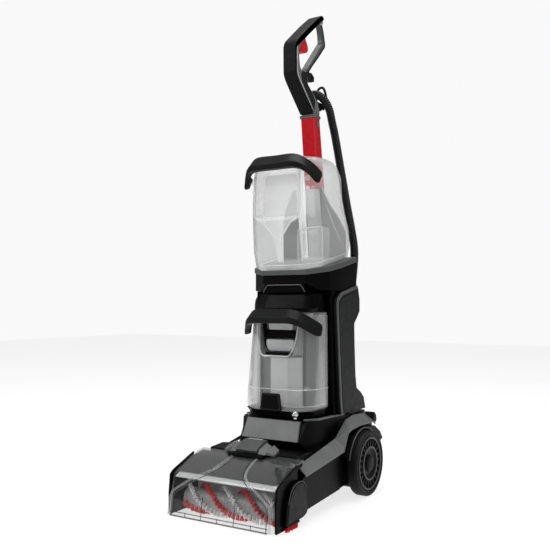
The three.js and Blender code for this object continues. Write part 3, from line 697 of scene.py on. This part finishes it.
def build_edge_brush(side, name):
    rng = random.Random(9)
    turn = on_side(side)
    parts = []
    for i in range(5):
        y = -316 + i * 8.4
        for _ in range(BRISTLES):
            dy, dx = rng.uniform(-1.9, 1.9), rng.uniform(-2.6, 2.6)
            top = Vector((130.2 + dx * 0.7, y + dy * 0.8, 11.2))
            foot = Vector((130.4 + dx, y + dy - 4.0, rng.uniform(1.0, 1.8)))
            parts.append(turn(bristle(foot, top, 0.9)))
    add(f"edge_bristles_{name}", parts, BRISTLE_RED, "base", replaces=(f"edge_brush_{name}",))
    holder = prism("x", [(-324, 10.5), (-278, 10.5), (-279, 15.5), (-322, 15.5)], 126.4, 134.4)
    add(f"edge_brush_holder_{name}", turn(holder), BLACK, "base", width=0.8)


SIDE_CAP = [(-328, 12), (-322, 52), (-309, 76), (-288, 87), (-264, 86), (-250, 72), (-246, 22), (-262, 16)]


def build_side_trim(side, name):
    turn = on_side(side)
    centre = Vector((-286, 50))
    inner, frame_line = ([tuple(centre.lerp(Vector(p), share)) for p in SIDE_CAP] for share in (0.86, 0.93))
    from_cad(f"side_cap_{name}", BLACK, 1.6)
    add(f"side_cap_panel_{name}", turn(prism("x", inner, 133.6, 135.2)), DARK, "base", width=0.8)
    edge = smooth_line([(134.3, y, z) for y, z in frame_line[1:6]], 3)
    foot = [(-318, 17), (-300, 19.5), (-284, 24), (-266, 24)]
    foot = smooth_line([(134.3, y, z) for y, z in foot], 3)
    add(f"side_cap_line_{name}", [turn(tube(edge, 0.7, 6)), turn(tube(foot, 0.6, 6))], TRIM, "base")
    slot = [(-198.5, 32), (-198.5, 52), (-195, 57), (-188, 60), (-176, 60.5), (-170, 58), (-165, 51),
            (-161, 33)]
    facet = [(-217, 63), (-203, 71), (-189, 78), (-176, 71), (-163, 62)]
    seams = [turn(tube([(124.2, y, z) for y, z in seam], 0.9, 6)) for seam in (slot, facet)]
    add(f"flank_seams_{name}", seams, SATIN, "base")


def build_rail(side, name):
    turn = on_side(side)
    from_cad(f"rail_{name}", GREY, 1.8)
    tail = [(66, 172), (76, 164), (78, 152), (72, 148), (60, 158)]
    add(f"rail_tail_{name}", turn(prism("x", tail, 109, 133)), DARK, "base", width=1.2)
    arch = []
    for i in range(15):
        angle = math.radians(24 + i * 10.2)
        arch.append((137.2, 75.6 * math.cos(angle), AXLE_Z + 75.6 * math.sin(angle)))
    from_cad(f"fender_{name}", BLACK, 1.5)
    add(f"fender_ring_{name}", turn(tube(arch, 1.7, 8)), TRIM, "base")


def build_latch():
    plate = [(-257, 121), (-262, 127.5), (-254, 133), (-231, 142.5), (-219, 142.5), (-215, 137), (-222, 128)]
    add("latch_plate", prism("x", plate, -25, 25), TRIM, "hood_latch", width=1.6,
        replaces=("hood_latch",))
    # A pale bar across the top of the latch plate: painted highlight.
    light = bar((0, -224.25, 143), (34, 4.5, 1.4))
    add("latch_highlight_bar", light, LIGHT, "hood_latch", width=0.4, segments=2)
    wings = []
    for x0, x1, drop in ((25.6, 43, 0), (43.6, 60, 4)):
        near = [(x0, -258 + drop, 121 - drop * 0.3), (x0, -222, 130 - drop * 0.4),
                (x0, -224, 139 - drop * 0.8), (x0, -252, 129 - drop * 0.6)]
        far = [(x1, -256 + drop * 2, 119.5 - drop * 0.5), (x1, -230, 126 - drop),
               (x1, -231, 134 - drop * 1.4), (x1, -250, 126 - drop)]
        wings += pair(loft([near, far]))
    add("latch_wings", wings, GREY, "hood_latch", width=1.1)
    well = [(-40, -266), (40, -266), (48, -226), (-48, -226)]
    add("latch_well", prism("z", well, 113.2, 119.4), BLACK, "hood", width=1.2)


def build_head():
    from_cad("base_housing", BLACK, 2.2)
    from_cad("base_sole", BLACK, 0.8)
    for side, name in SIDES:
        from_cad(f"skid_{name}", SOFT, 1.2)
        from_cad(f"hood_end_{name}", BLACK, 1.2)
        build_side_trim(side, name)
        build_edge_brush(side, name)
        build_rail(side, name)
    axle = [(0, -149), (7, -149), (8, -148), (8, 148), (7, 149), (0, 149)]
    add("axle_rod", lathe("x", axle, (0, 0, AXLE_Z), 40), STEEL, "base", replaces=("axle",))


build_head()
build_hood()
build_liner()
build_latch()
build_brush()


# ---- body ---------------------------------------------------------------------------------
def build_pod():
    from_cad("pod_housing", BLACK, 2.5)
    from_cad("pod_band", GREY, 1.4)
    ledge = [(68, -148), (91, -124), (97, -62), (103, -26), (94, -26), (89, -62), (83, -118), (64, -140)]
    add("pod_ledges", pair(prism("z", ledge, 173.4, 177.6)), GREY, "upright", width=0.9)


PANEL_FRONT = [(-48, 177), (-53, 210), (-61, 318), (-68, 413), (-65, 428), (-46, 443), (34, 460)]
PANEL_INSET = [(-34, 186), (-40, 212), (-49, 318), (-56, 411), (-52, 420), (-42, 430), (28, 446), (38, 424),
               (38, 406), (28, 396), (10, 381), (11, 325), (15, 252), (21, 221), (44, 208), (58, 197),
               (63, 186)]


def build_spine():
    from_cad("spine_housing", BLACK, 1.6)
    for side, name in SIDES:
        turn = on_side(side)
        from_cad(f"side_panel_{name}", SATIN, 1.5)
        edge = rounded_line(PANEL_FRONT, 12, 4)
        strip = prism("x", edge + beside(edge, 7)[::-1], 104.2, 107)
        add(f"panel_edge_{name}_shape", turn(strip), TRIM, "upright", width=0.9,
            replaces=(f"panel_edge_{name}",))
        field = prism("x", rounded_line(PANEL_INSET, 8, 3), 104, 105.5)
        add(f"panel_field_{name}", turn(field), DARK, "upright", width=0.7)
    from_cad("rear_cover", BLACK, 2.5)
    vents = []
    for i in range(7):
        vents.append(bar((-5, 62.4, 262 + i * 6), (46 - abs(i - 3) * 3, 1.6, 2.2)))
    add("rear_vents", vents, DARK, "upright", width=0.5, segments=2)
    head = [(0, 64.6), (1.2, 64.6), (1.6, 63.9), (3.2, 64.2), (3.8, 63.4), (3.8, 61.5), (0, 61.5)]
    screws = [lathe("y", head, (x, 0, z), 20) for z in (192, 434) for x in (-52, 52)]
    add("rear_screws", screws, STEEL, "upright")


build_pod()
build_spine()


def shelf_top(y):
    """The height of the shelf's sloping top."""
    return 492 + (y + 116) * 0.22


def pole_centre(z):
    """The y of the leaning pole's centre line at this height."""
    return 27.5 + (685 - z) * 0.13


def build_shelf():
    from_cad("shelf_housing", BLACK, 3)
    from_cad("shelf_rim", TRIM, 1.5)
    from_cad("lower_column", PALE, 1.6)
    apron = [(-54, 442.2), (54, 442.2), (50, 462), (-50, 462)]
    add("shelf_apron", prism("y", apron, -114, -108), BLACK, "upright", width=1.5)
    brow = [(-53, 443.5), (-43, 459), (43, 459), (53, 443.5)]
    ridge = [(x, -114.2, z) for x, z in rounded_line(brow, 5, 4)]
    add("shelf_brow_line", tube(ridge, 0.8, 6), GREY, "upright")


def leaning(z0, z1, half, depth0, depth1, corner=5):
    """A stretch of the leaning pole's section, its corners cut, between two heights."""
    rings = []
    for z, depth in ((z0, depth0), (z1, depth1)):
        y = pole_centre(z)
        ring = both([(half - corner, -depth), (half, corner - depth), (half, depth - corner),
                     (half - corner, depth)])
        rings.append([(x, y + d, z) for x, d in ring])
    return loft(rings)


def build_pole():
    add("pole_shell", leaning(685, 849, 19, 18, 15.5), RED, "upright", width=1.2, replaces=("pole",))
    add("pole_seam", leaning(851.2, 854.6, 20.9, 17.9, 17.9), TRIM, "upright", width=0.5)
    from_cad("collar", GREY, 0.7)
    from_cad("pole_button", GREY, 0.7)


HANDLE_FRONT = [(-12, 856.5), (-29, 872), (-80, 919), (-89, 932), (-90, 995), (-84, 1008), (-16, 1066),
                (27, 1099), (39, 1104), (48, 1098)]
BAND_INSIDE = [(38, 1084), (28, 1080), (10, 1069.5), (-26, 1037), (-61, 1005), (-68.5, 992), (-68.5, 971),
               (-65, 953), (-58, 946), (-33, 951)]
NECK_REAR = [(-31, 936), (-30, 922), (-6, 907), (18, 889), (27, 870), (26, 856.5)]
STRUT_OUTSIDE = [(50, 1090), (59, 1070), (66.5, 1046), (66.5, 1037), (32, 1001), (3, 973), (-15, 953),
                 (-27, 940)]
STRUT_INSIDE = [(-42, 944), (-22, 960), (12, 997), (53, 1042), (54, 1050), (51.5, 1067), (45, 1083),
                (30, 1083)]
NECK_SIDE = 14.2


def neck_strip(outline, proud):
    """Thin strips with a (y, z) outline on both sides of the handle's neck."""
    return pair(prism("x", outline, NECK_SIDE, NECK_SIDE + proud))


def build_handle():
    front = rounded_line(HANDLE_FRONT, 16, 5)
    grip = beside(front, 4.3) + rounded_line(BAND_INSIDE, 9, 4) + rounded_line(NECK_REAR, 6, 3)
    pocket = prism("x", [(-64, 1010), (-56, 998), (-22, 1030), (-34, 1043)], -10, 10)
    band = add("handle_grip_frame", prism("x", grip, -14.5, 14.5), GREY, "upright", width=2.2,
               replaces=("handle_frame",))
    carved(band, pocket)
    strut = rounded_line([(30, 1088)] + STRUT_OUTSIDE, 6, 4) + rounded_line([(-40, 934)] + STRUT_INSIDE, 6, 4)
    add("handle_strut", prism("x", strut, -7, 7), TRIM, "upright", width=1.8)
    rear = rounded_line(STRUT_OUTSIDE, 6, 4)
    rim = beside(rear, -0.6) + beside(rear, 3.6)[::-1]
    add("strut_rear_skin", prism("x", rim, -8.2, 8.2), SOFT, "upright", width=1.2)
    near = rounded_line(STRUT_INSIDE[1:4], 5, 3)
    lining = beside(near, -0.7) + beside(near, 2.2)[::-1]
    add("strut_lining", prism("x", lining, -7.6, 7.6), GREY, "upright", width=0.7)
    wrap = [4.3 + max(0, 960 - z) * 0.055 for y, z in front]
    inner = [beside(front, w)[i] for i, w in enumerate(wrap)]
    add("grip_skin_shape", prism("x", front + inner[::-1], -16.5, 16.5), SOFT, "upright", width=2.2,
        segments=4, replaces=("grip_skin",))
    seam = front[6:]
    groove = beside(seam, 6.0) + beside(seam, 8.2)[::-1]
    add("handle_side_grooves", neck_strip(groove, 0.7), DARK, "upright")
    low = [p for p in front if p[1] < 1000]
    line = beside(low, 9) + beside(low, 12.5)[::-1]
    add("neck_side_line", neck_strip(line, 1.0), LIGHT, "upright", width=0.4, segments=2)
    field = [(-1, 866), (-24, 890), (-58, 921), (-62, 936), (-57, 944), (-34, 949), (-34, 922), (-9, 905),
             (4, 890)]
    add("neck_side_field", neck_strip(field, 0.8), DARK, "upright", width=0.4, segments=2)
    cap = [(30, 1098), (40, 1101.5), (48, 1096.5), (52, 1089), (47, 1084), (36, 1086)]
    rings = []
    for x, shrink in ((-12.5, 0.72), (-10.5, 1.0), (10.5, 1.0), (12.5, 0.72)):
        rings.append([(x, 41 + (y - 41) * shrink, 1092 + (z - 1092) * shrink) for y, z in cap])
    add("handle_tip_cap", loft(rings), LIGHT, "upright", width=1.5)
    from_cad("trigger", RED, 2.0)
    clip = [(-30, 948), (-22, 956), (6, 958), (18, 950), (17, 940), (2, 936), (-12, 938), (-30, 934)]
    body = add("neck_clip", prism("x", clip, -5, 5), DARK, "upright", width=1.2)
    carved(body, lathe("x", [(4.2, -8), (4.2, 8)], (0, 6, 947), 20))


def build_hook():
    arm = [(30, 873), (21, 891.5), (14, 897), (14, 903), (76, 903), (84, 898), (70, 884), (46, 876)]
    add("hose_hook_arm", prism("x", arm, -14, -4), BLACK, "upright", width=1.5,
        replaces=("hose_hook",))
    loop = [(-12, 79, 889), (-23, 79, 899), (-23.4, 79, 915), (-22, 79.5, 932), (-17, 80, 942),
            (-10.5, 80, 944.4), (-6, 80, 943.6), (-2, 79.8, 938), (2, 79.4, 926), (4, 79, 912), (2, 79, 898),
            (-6, 79, 889)]
    add("hose_hook_loop", tube(smooth_line(loop, 2.5), 3.0, 12), BLACK, "upright")


build_shelf()
build_pole()
build_handle()
build_hook()


# ---- rear fittings ------------------------------------------------------------------------
def build_rear():
    for node, edge in (("hose_port", 1.5), ("tool_clip", 0.8), ("cord_hook_lower", 1.8),
                       ("cord_hook_upper", 1.8)):
        from_cad(node, BLACK, edge)
    gland = [(0, 62.3), (9, 62.3), (9, 65), (7.6, 66.5), (6.6, 69), (7.2, 70), (6.2, 71.2), (6.8, 72.4),
             (5.8, 73.6), (6.4, 74.8), (5.2, 78.2), (2.6, 78.2), (2.6, 74), (0, 74)]
    add("cord_gland_boot", lathe("y", gland, (30, 0, 414), 32), SOFT, "upright",
        replaces=("cord_gland",))
    grooves = [(10.4, 150.2), (12.6, 150.2), (13, 151), (13, 156)]
    for i in range(6):
        z = 158 + i * 4
        grooves += [(12.2, z), (12.2, z + 1.4), (13, z + 1.8), (13, z + 3.4)]
    grooves += [(13, 183.6), (12, 185), (9.4, 185), (9.4, 150.2)]
    flipped = [(r, 330 - (z - 150) * 40 / 35) for r, z in grooves]
    for node, profile, x in (("hose_cuff", grooves, 43), ("hose_connector", flipped, -58)):
        add(f"{node}_shape", lathe("z", profile, (x, 92, 0), 40, closed=True), TRIM, "upright",
            replaces=(node,))
    from_cad("cleaning_tool", BLACK, 2.0)


def build_button():
    dome = [(0, 66.8), (6, 66.6), (10.4, 65.8), (11.8, 64.6), (12, 63), (12, 58), (0, 58)]
    add("power_button_dome", lathe("y", dome, (-5, 0, 330), 40), RED, "power_button",
        replaces=("power_button",))


build_rear()
build_hose()
build_button()


# ---- tanks --------------------------------------------------------------------------------
TANK_WALL = 2.5


def tank_ring(front_half, side_half, front_y, corner_y, rear_half, rear_y, height, grow=0.0):
    """A tank's section: a flat front between slanted corners, sides and a flat back, at height(y)."""
    half = [(front_half + grow * 0.5, front_y - grow), (side_half + grow, corner_y - grow * 0.5),
            (rear_half + grow, rear_y - 14), (rear_half + grow - 7, rear_y + grow)]
    return [(x, y, height(y)) for x, y in rounded_ring(both(half), 11)]


def clean_rings(grow, bottom, top):
    return [
        tank_ring(52, 84, -127, -98, 91, 24, lambda y: shelf_top(y) + bottom, grow - 3),
        tank_ring(52, 84, -129, -98, 93, 26, lambda y: shelf_top(y) + bottom + 4, grow),
        tank_ring(56, 86, -138, -104, 95, 30, lambda y: 540 + (y + 60) * 0.1, grow),
        tank_ring(58, 87, -143, -106, 95, 29, lambda y: 585, grow),
        tank_ring(58, 87, -144, -106, 92, 2, lambda y: 640, grow),
        tank_ring(57, 86, -142, -104, 91, -2, lambda y: 700, grow),
        tank_ring(53, 82, -136, -100, 87, -16, lambda y: top - 12, grow),
        tank_ring(52, 80, -134, -98, 84, -26, lambda y: top - 4, grow - 1),
        tank_ring(48, 76, -128, -94, 78, -34, lambda y: top, grow - 2),
    ]


def frustum_y(near, far, y_near, y_far):
    """A rounded opening that narrows with depth; near and far are (half, low, high, corner)."""
    rings = []
    for (half, low, high, corner), y in ((near, y_near), (far, y_far)):
        ring = []
        for cx, cz, start in ((half - corner, high - corner, 0), (corner - half, high - corner, 90),
                              (corner - half, low + corner, 180), (half - corner, low + corner, 270)):
            for k in range(6):
                angle = math.radians(start + k * 18)
                ring.append((cx + corner * math.cos(angle), y, cz + corner * math.sin(angle)))
        rings.append(ring)
    return loft(rings), rings


CLEAN_BAIL = [
    [(0, -150, 738), (0, -166, 717.5), (0, -165, 706), (0, -151, 705)],
    [(44, -150, 738), (52, -166, 717.5), (52, -165, 706), (45, -151, 705)],
    [(57, -146, 735), (64, -161, 714), (65, -160, 703), (56, -149, 704)],
    [(77, -133, 722), (79, -147, 703), (80, -147, 690), (75, -135, 692)],
    [(88, -114, 707), (90, -131, 687), (91.5, -133, 672), (88, -118, 676)],
    [(88.5, -101, 700), (93, -108, 690), (93, -121, 674.5), (88.5, -116, 676)],
]
DIRTY_BAIL = [
    [(0, -157, 408), (0, -174, 389), (0, -173, 377), (0, -158, 376)],
    [(46, -157, 407), (52, -173.5, 388.5), (52, -172.5, 376), (47, -158, 375.5)],
    [(57, -151, 404), (64, -166, 384), (65, -165, 371), (57, -153, 373)],
    [(76, -133, 391), (80, -146, 372), (81, -146, 358), (76, -134, 361)],
    [(88, -115, 379), (91, -128, 362), (92, -130, 349), (88, -118, 352)],
    [(88.5, -103, 374), (93, -107, 367), (93, -114, 350), (88.5, -109, 352)],
]


def bail(node, half):
    """A swept carrying bail, whose four edges run smoothly through the sections of its right half."""
    whole = [[(-x, y, z) for x, y, z in ring] for ring in half[:0:-1]] + half
    corners = [smooth_line([ring[i] for ring in whole], 9) for i in range(4)]
    count = min(len(c) for c in corners)
    lines = []
    for corner in corners:
        line, _ = evenly(corner, sum((b - a).length for a, b in zip(corner, corner[1:])) / (count - 1))
        lines.append(line[:count] if len(line) >= count else line)
    count = min(len(line) for line in lines)
    rings = [[tuple(line[i]) for line in lines] for i in range(count)]
    add(f"{node}_shape", loft(rings), SATIN, frame["nodes"][node]["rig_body"], width=1.3, segments=3,
        replaces=(node,), angle=22)


CLEAN_FRONT = [(500, -127), (548, -139), (585, -143), (640, -144), (700, -142), (734, -134)]
CLEAN_BACK = [(508, 21), (540, 24), (585, 23.5), (640, -3.5), (700, -7.5)]
DIRTY_FRONT = [(193, -163), (260, -158), (340, -144), (400, -138)]


def along(line, z):
    """The y of a tank wall, given as (z, y) points, at this height."""
    for (z0, y0), (z1, y1) in zip(line, line[1:]):
        if z <= z1:
            return y0 + (y1 - y0) * (z - z0) / (z1 - z0)
    return line[-1][1]


def panel_on(outline, line, offset, thick):
    """A thin panel with an (x, z) outline whose depth follows a tank wall."""
    near = [(x, along(line, z) + offset, z) for x, z in outline]
    far = [(x, y + thick, z) for x, y, z in near]
    return loft([near, far])


def line_on(points, line, size, offset):
    """A raised line with (x, z) points that follows a tank wall."""
    return tube([(x, along(line, z) + offset, z) for x, z in points], size, 6)


def finely(points, step=6.0):
    """More points along an (x, z) line, so a panel or ridge can follow a bent wall."""
    out = []
    for a, b in zip(points, points[1:]):
        count = max(1, round((Vector(b) - Vector(a)).length / step))
        out += [tuple(Vector(a).lerp(Vector(b), k / count)) for k in range(count)]
    return out + [points[-1]]


def build_clean_tank():
    wall = TANK_WALL
    recess, edge = frustum_y((64, 597, 716, 20), (43, 606, 702, 10), -150, -128)
    sunk, _ = frustum_y((64 + wall, 597 - wall, 716 + wall, 22), (43 + wall, 606 - wall, 702 + wall, 11),
                        -150, -128 + wall)
    channel = leaning(480, 800, 27, 22, 22)
    inner_channel = leaning(480, 800, 27 + wall, 22 + wall, 22 + wall)
    shell = add("clean_tank_body", loft(clean_rings(0, 0.5, 736)), CLEAR, "clean_tank",
                replaces=("clean_tank_shell",))
    hollow = bare(loft(clean_rings(-wall, 0.5 + wall, 736 - wall)), sunk, inner_channel)
    carved(shell, recess, channel, hollow)
    middle, _ = frustum_y((58, 599.4, 712, 17), (43, 606, 702, 10), -143.6, -128)
    rim = middle[0][:24]
    # The recess rims and creases are raised lines in the lighter clear, a painted highlight along them.
    lines = [tube([(x, along(CLEAN_FRONT, z) - 0.3, z) for x, y, z in rim], 1.3, 6, closed=True),
             tube([Vector(p) + Vector((0, -0.4, 0)) for p in edge[1]], 0.9, 6, closed=True)]
    crease = finely([(54, 602), (34, 593), (10, 562), (8, 506)])
    lines += pair(line_on(crease, CLEAN_FRONT, 0.9, -0.2))
    lines += pair(tube([(60, -142.5, 588), (60, -141, 556), (56, -131, 508)], 0.7, 6))
    add("clean_tank_lines", lines, CLEAR_EDGE_HIGHLIGHT, "clean_tank")
    half = finely([(0, 598.5), (50, 598.5), (33, 591), (9.5, 560), (7.5, 508), (0, 508)])
    band = panel_on(half[:-1] + [(-x, z) for x, z in half[::-1]][:-1], CLEAN_FRONT, 3.4, 0.8)
    floor_panel = [(x * 0.96, -124.6, 654 + (z - 654) * 0.96) for x, y, z in edge[1]]
    floor_back = [(x, y + 0.8, z) for x, y, z in floor_panel]
    add("clean_tank_front_band", [band, loft([floor_panel, floor_back])], FROSTED, "clean_tank")
    wing = finely([(31, 510), (81, 516), (83, 540), (83, 583), (73, 613), (56, 646), (38, 683), (31, 683)])
    add("clean_tank_back_plates", pair(panel_on(wing, CLEAN_BACK, 0, -2)), SMOKED, "clean_tank")
    slant = line_on(finely([(84, 580), (74, 613), (57, 646), (39, 683)]), CLEAN_BACK, 1.1, -3)
    post = tube([(60, -30, 640), (72, -20, 600), (84, -8, 560)], 0.9, 6)
    add("clean_tank_back_lines", [*pair(slant), post], CLEAR_EDGE_HIGHLIGHT, "clean_tank")
    well = rounded_ring([(6, -62), (68, -62), (68, -24), (6, -24)], 7)
    rings = stacked(well, 512, 582)
    rings.append([(37 + (x - 37) * 0.93, -43 + (y + 43) * 0.9, 588) for x, y in well])
    add("clean_tank_well", loft(rings), CLEAR, "clean_tank")
    outline = rounded_line([(6, 510), (6, 588), (68, 588), (68, 510)], 8, 5)
    well_line = tube([(x, -62.4, z) for x, z in outline], 1.2, 6)
    add("clean_tank_well_line", well_line, CLEAR_EDGE_HIGHLIGHT, "clean_tank")
    ring = clean_rings(-3.2, 7.5, 736)[1]
    add("clean_tank_floor_line", tube(ring, 0.9, 6, closed=True), CLEAR_EDGE_HIGHLIGHT, "clean_tank")
    bosses = []
    way = Vector((0.78, -0.62, 0)).to_track_quat("Z", "X").to_matrix()
    for z, size in ((686, 5.6), (664, 4.2)):
        profile = [(0, 3.2), (size * 0.5, 3.2), (size * 0.62, 2.2), (size, 2.2), (size, -2.5), (0, -2.5)]
        points, faces = lathe("z", profile, (0, 0, 0), 24)
        bosses += pair(([way @ Vector(p) + Vector((69, -129.5, z)) for p in points], faces))
    add("clean_tank_bosses", bosses, CLEAR_EDGE_HIGHLIGHT, "clean_tank")
    from_cad("clean_tank_cap", DARK, 1.2)
    bail("clean_bail", CLEAN_BAIL)


def dirty_rings(grow, bottom, top):
    return [
        tank_ring(54, 82, -162, -133, 86, -62, lambda y: bottom, grow - 3),
        tank_ring(54, 84, -163, -134, 87.5, -62, lambda y: bottom + 5, grow),
        tank_ring(54, 84, -160.4, -131.5, 87.5, -62, lambda y: 236, grow),
        tank_ring(53.4, 83.4, -159.2, -130.4, 87.2, -62, lambda y: 240, grow),
        tank_ring(53, 83.4, -157.4, -127.5, 87.2, -62, lambda y: 262, grow),
        tank_ring(52, 82, -144, -118, 86, -62, lambda y: 340, grow),
        tank_ring(50, 80, -138, -112, 85, -62, lambda y: top, grow),
    ]


def catch_outline(grow):
    half = [(34 + grow, 307 - grow), (42 + grow, 318), (48.5 + grow, 340), (56 + grow, 424 + grow)]
    return both(half)


def catch_recess(grow, deepest):
    """The tapered recess round the lid catch; grow is the thickness left round it."""
    near, far = (rounded_ring(catch_outline(grow + size), 7 if grow else 6) for size in (3, -7))
    return loft([[(x, -152, z) for x, z in near], [(x, deepest, z) for x, z in far]])


def build_dirty_tank():
    wall = TANK_WALL
    shell = add("dirty_tank_body", loft(dirty_rings(0, 193, 400)), CLEAR, "dirty_tank",
                replaces=("dirty_tank_shell",))
    hollow = bare(loft(dirty_rings(-wall, 193 + wall, 400 - wall)), catch_recess(wall, -119 + wall))
    carved(shell, catch_recess(0, -119), hollow)
    # The catch recess rims and the step lines are raised lines in the lighter clear, a painted highlight
    # along them.
    rim = rounded_line(both([(54, 398), (48, 340), (41, 318), (33, 307)]), 7, 4)
    lines = [line_on(finely(rim), DIRTY_FRONT, 1.2, -0.3)]
    deep = rounded_line(both([(44, 396), (39, 340), (33, 322), (26, 314)]), 6, 4)
    lines.append(tube([(x, -120, z) for x, z in deep], 0.9, 6))
    step = tank_ring(53.4, 83.4, -159.9, -131, 87.2, -62, lambda y: 238, 0.3)
    lines.append(tube(step, 0.9, 6, closed=True))
    lines.append(tube(dirty_rings(-3.2, 198, 400)[1], 0.8, 6, closed=True))
    add("dirty_tank_lines", lines, CLEAR_EDGE_HIGHLIGHT, "dirty_tank")
    low = [(-50, -118), (-21, -134), (21, -134), (50, -118), (50, -72), (-50, -72)]
    high = [(-50, -100), (-24, -115.4), (24, -115.4), (50, -100), (50, -72), (-50, -72)]
    halves = [loft(stacked(low, 198, 303)), loft(stacked(high, 306, 397))]
    column = add("separator_column", halves, PALE, "dirty_tank", width=1.4, replaces=("dirty_duct",))
    carved(column, prism("z", [(-26, -113), (26, -113), (26, -96), (-26, -96)], 294, 376))
    left = prism("z", [(-79, -114), (-54, -126), (-54, -122), (-79, -110)], 200, 392)
    back = prism("z", [(-82, -67.5), (82, -67.5), (82, -65.5), (-82, -65.5)], 200, 394)
    add("tank_light_panels", [left, back], FROSTED, "dirty_tank")
    # The two side facets of the pale column take other greys: painted shade, strong on the left facet and
    # slight on the right, for how light falls on each face.
    for side, name, facet_shade in ((-1, "left", TRIM), (1, "right", LIGHT)):
        foot = [(side * 22, -135.2), (side * 49.5, -119.6), (side * 49.5, -118.4), (side * 22, -134)]
        head = [(side * 25, -116.6), (side * 49.5, -101.6), (side * 49.5, -100.4), (side * 25, -115.4)]
        facet = [loft(stacked(foot, 199, 302)), loft(stacked(head, 307, 396))]
        add(f"column_facet_{name}", facet, facet_shade, "dirty_tank", width=0.3, segments=1)
    duct = rounded_ring([(53, -116), (62, -122), (74, -108), (76, -88), (54, -86)], 7)
    add("side_duct", pair(loft(stacked(duct, 200, 378))), TRIM, "dirty_tank")
    strip = prism("z", [(50.8, -119), (57, -122.5), (58, -119.5), (52, -115.5)], 201, 379)
    add("side_duct_strips", pair(strip), BLACK, "dirty_tank", width=0.6)
    plate = prism("y", rounded_ring([(-29, 362), (29, 362), (31, 380), (-31, 380)], 3), -128, -121)
    grip = rounded_ring(both([(26, 316), (33, 324), (35, 341)]), 5)
    grip = prism("y", grip, -131, -121.5)
    add("lid_catch", [plate, grip], LIGHT, "dirty_tank", width=1.6)
    slot = prism("y", [(-36, 343), (36, 343), (38, 361), (-38, 361)], -125, -120.4)
    post = prism("y", [(37, 322), (41, 330), (46, 378), (40, 378)], -128, -120.4)
    lip = prism("y", [(-32, 309.5), (32, 309.5), (29, 314.5), (-29, 314.5)], -142, -124)
    add("lid_catch_slots", [slot, *pair(post), lip], BLACK, "dirty_tank", width=1.2)
    bulb = rounded_ring([(-23, -111), (23, -111), (23, -98), (-23, -98)], 5)
    narrow = [(x * 0.9, -104.5 + (y + 104.5) * 0.8) for x, y in bulb]
    rings = stacked(narrow, 300) + stacked(bulb, 303, 327) + stacked(narrow, 330)
    add("float_bulb", loft(rings), LIGHT, "tank_float", replaces=("tank_float",))
    from_cad("dirty_tank_foot", BLACK, 1.6)
    from_cad("dirty_tank_lid", BLACK, 1.8)
    bail("dirty_bail", DIRTY_BAIL)
    badge = [(-26, 194), (26, 194), (21, 230), (-21, 230)]
    badge = prism("y", rounded_ring(badge, 4), -170.5, -163.5)
    add("tank_badge", badge, DARK, "dirty_tank", width=1.4)
    field = [(-22, 197.5), (22, 197.5), (18, 226.5), (-18, 226.5)]
    field = prism("y", rounded_ring(field, 3), -171.3, -169.8)
    add("tank_badge_field", field, BLACK, "dirty_tank", width=0.6)
    knob = [(0, 7), (2.4, 6.6), (4.8, 5.2), (6.4, 3), (7, 0), (6.4, -3), (4.8, -5.2), (3.4, -6.2),
            (3.4, -9), (0, -9)]
    add("catch_knob", lathe("z", knob, (60, -168, 190), 32), STEEL, "upright")


build_clean_tank()
build_dirty_tank()


# ---- floor and light ----------------------------------------------------------------------
def build_floor():
    mesh = bpy.data.meshes.new("floor")
    half = 6.0  # metres
    corners = [(-half, -half, 0), (half, -half, 0), (half, half, 0), (-half, half, 0)]
    mesh.from_pydata(corners, [], [(0, 1, 2, 3)])
    floor = bpy.data.objects.new("floor", mesh)
    bpy.context.scene.collection.objects.link(floor)
    material, nodes, links, base = shader("pale_floor")
    paper = noise_at(nodes, links, 3, 2)
    links.new(tinted(nodes, links, paper, (0.29, 0.29, 0.29), (0.31, 0.31, 0.31)), base.inputs["Base Color"])
    base.inputs["Roughness"].default_value = 0.9
    base.inputs["Specular IOR Level"].default_value = 0.0
    base.inputs["Emission Color"].default_value = (1, 1, 1, 1)
    base.inputs["Emission Strength"].default_value = 0.76
    mesh.materials.append(material)


def softbox(name, power, size, place, target):
    data = bpy.data.lights.new(name, "AREA")
    data.energy = power
    data.size = size
    lamp = bpy.data.objects.new(name, data)
    lamp.location = place
    lamp.rotation_euler = (Vector(target) - Vector(place)).to_track_quat("-Z", "Y").to_euler()
    bpy.context.scene.collection.objects.link(lamp)


ROOM_LIGHT = (0.2, 0.52)


def build_light():
    """A room that is white to the camera and dimmer to everything else, and the soft lights."""
    world = bpy.data.worlds.new("studio")
    bpy.context.scene.world = world
    world.use_nodes = True
    nodes, links = world.node_tree.nodes, world.node_tree.links
    room = nodes["Background"]
    place = nodes.new("ShaderNodeTexCoord")
    split = nodes.new("ShaderNodeSeparateXYZ")
    links.new(place.outputs["Generated"], split.inputs["Vector"])
    links.new(ranged(nodes, links, split.outputs["Z"], *ROOM_LIGHT, 0.15, 0.9), room.inputs["Strength"])
    white = nodes.new("ShaderNodeBackground")
    ray = nodes.new("ShaderNodeLightPath")
    mix = nodes.new("ShaderNodeMixShader")
    room.inputs["Color"].default_value = (1, 1, 1, 1)
    white.inputs["Color"].default_value = (0.95, 0.95, 0.95, 1)
    links.new(ray.outputs["Is Camera Ray"], mix.inputs["Fac"])
    links.new(room.outputs["Background"], mix.inputs[1])
    links.new(white.outputs["Background"], mix.inputs[2])
    links.new(mix.outputs["Shader"], nodes["World Output"].inputs["Surface"])
    softbox("key", 34, 1.3, (-1.6, -2.2, 2.2), (0, 0, 0.4))
    softbox("fill", 8, 1.0, (2.4, -0.9, 1.3), (0, 0, 0.4))
    softbox("top", 52, 1.8, (0.2, 0.2, 2.9), (0, 0, 0.5))
    bpy.context.scene.view_settings.view_transform = "Standard"
    bpy.context.scene.cycles.transparent_max_bounces = 24


build_floor()
build_light()
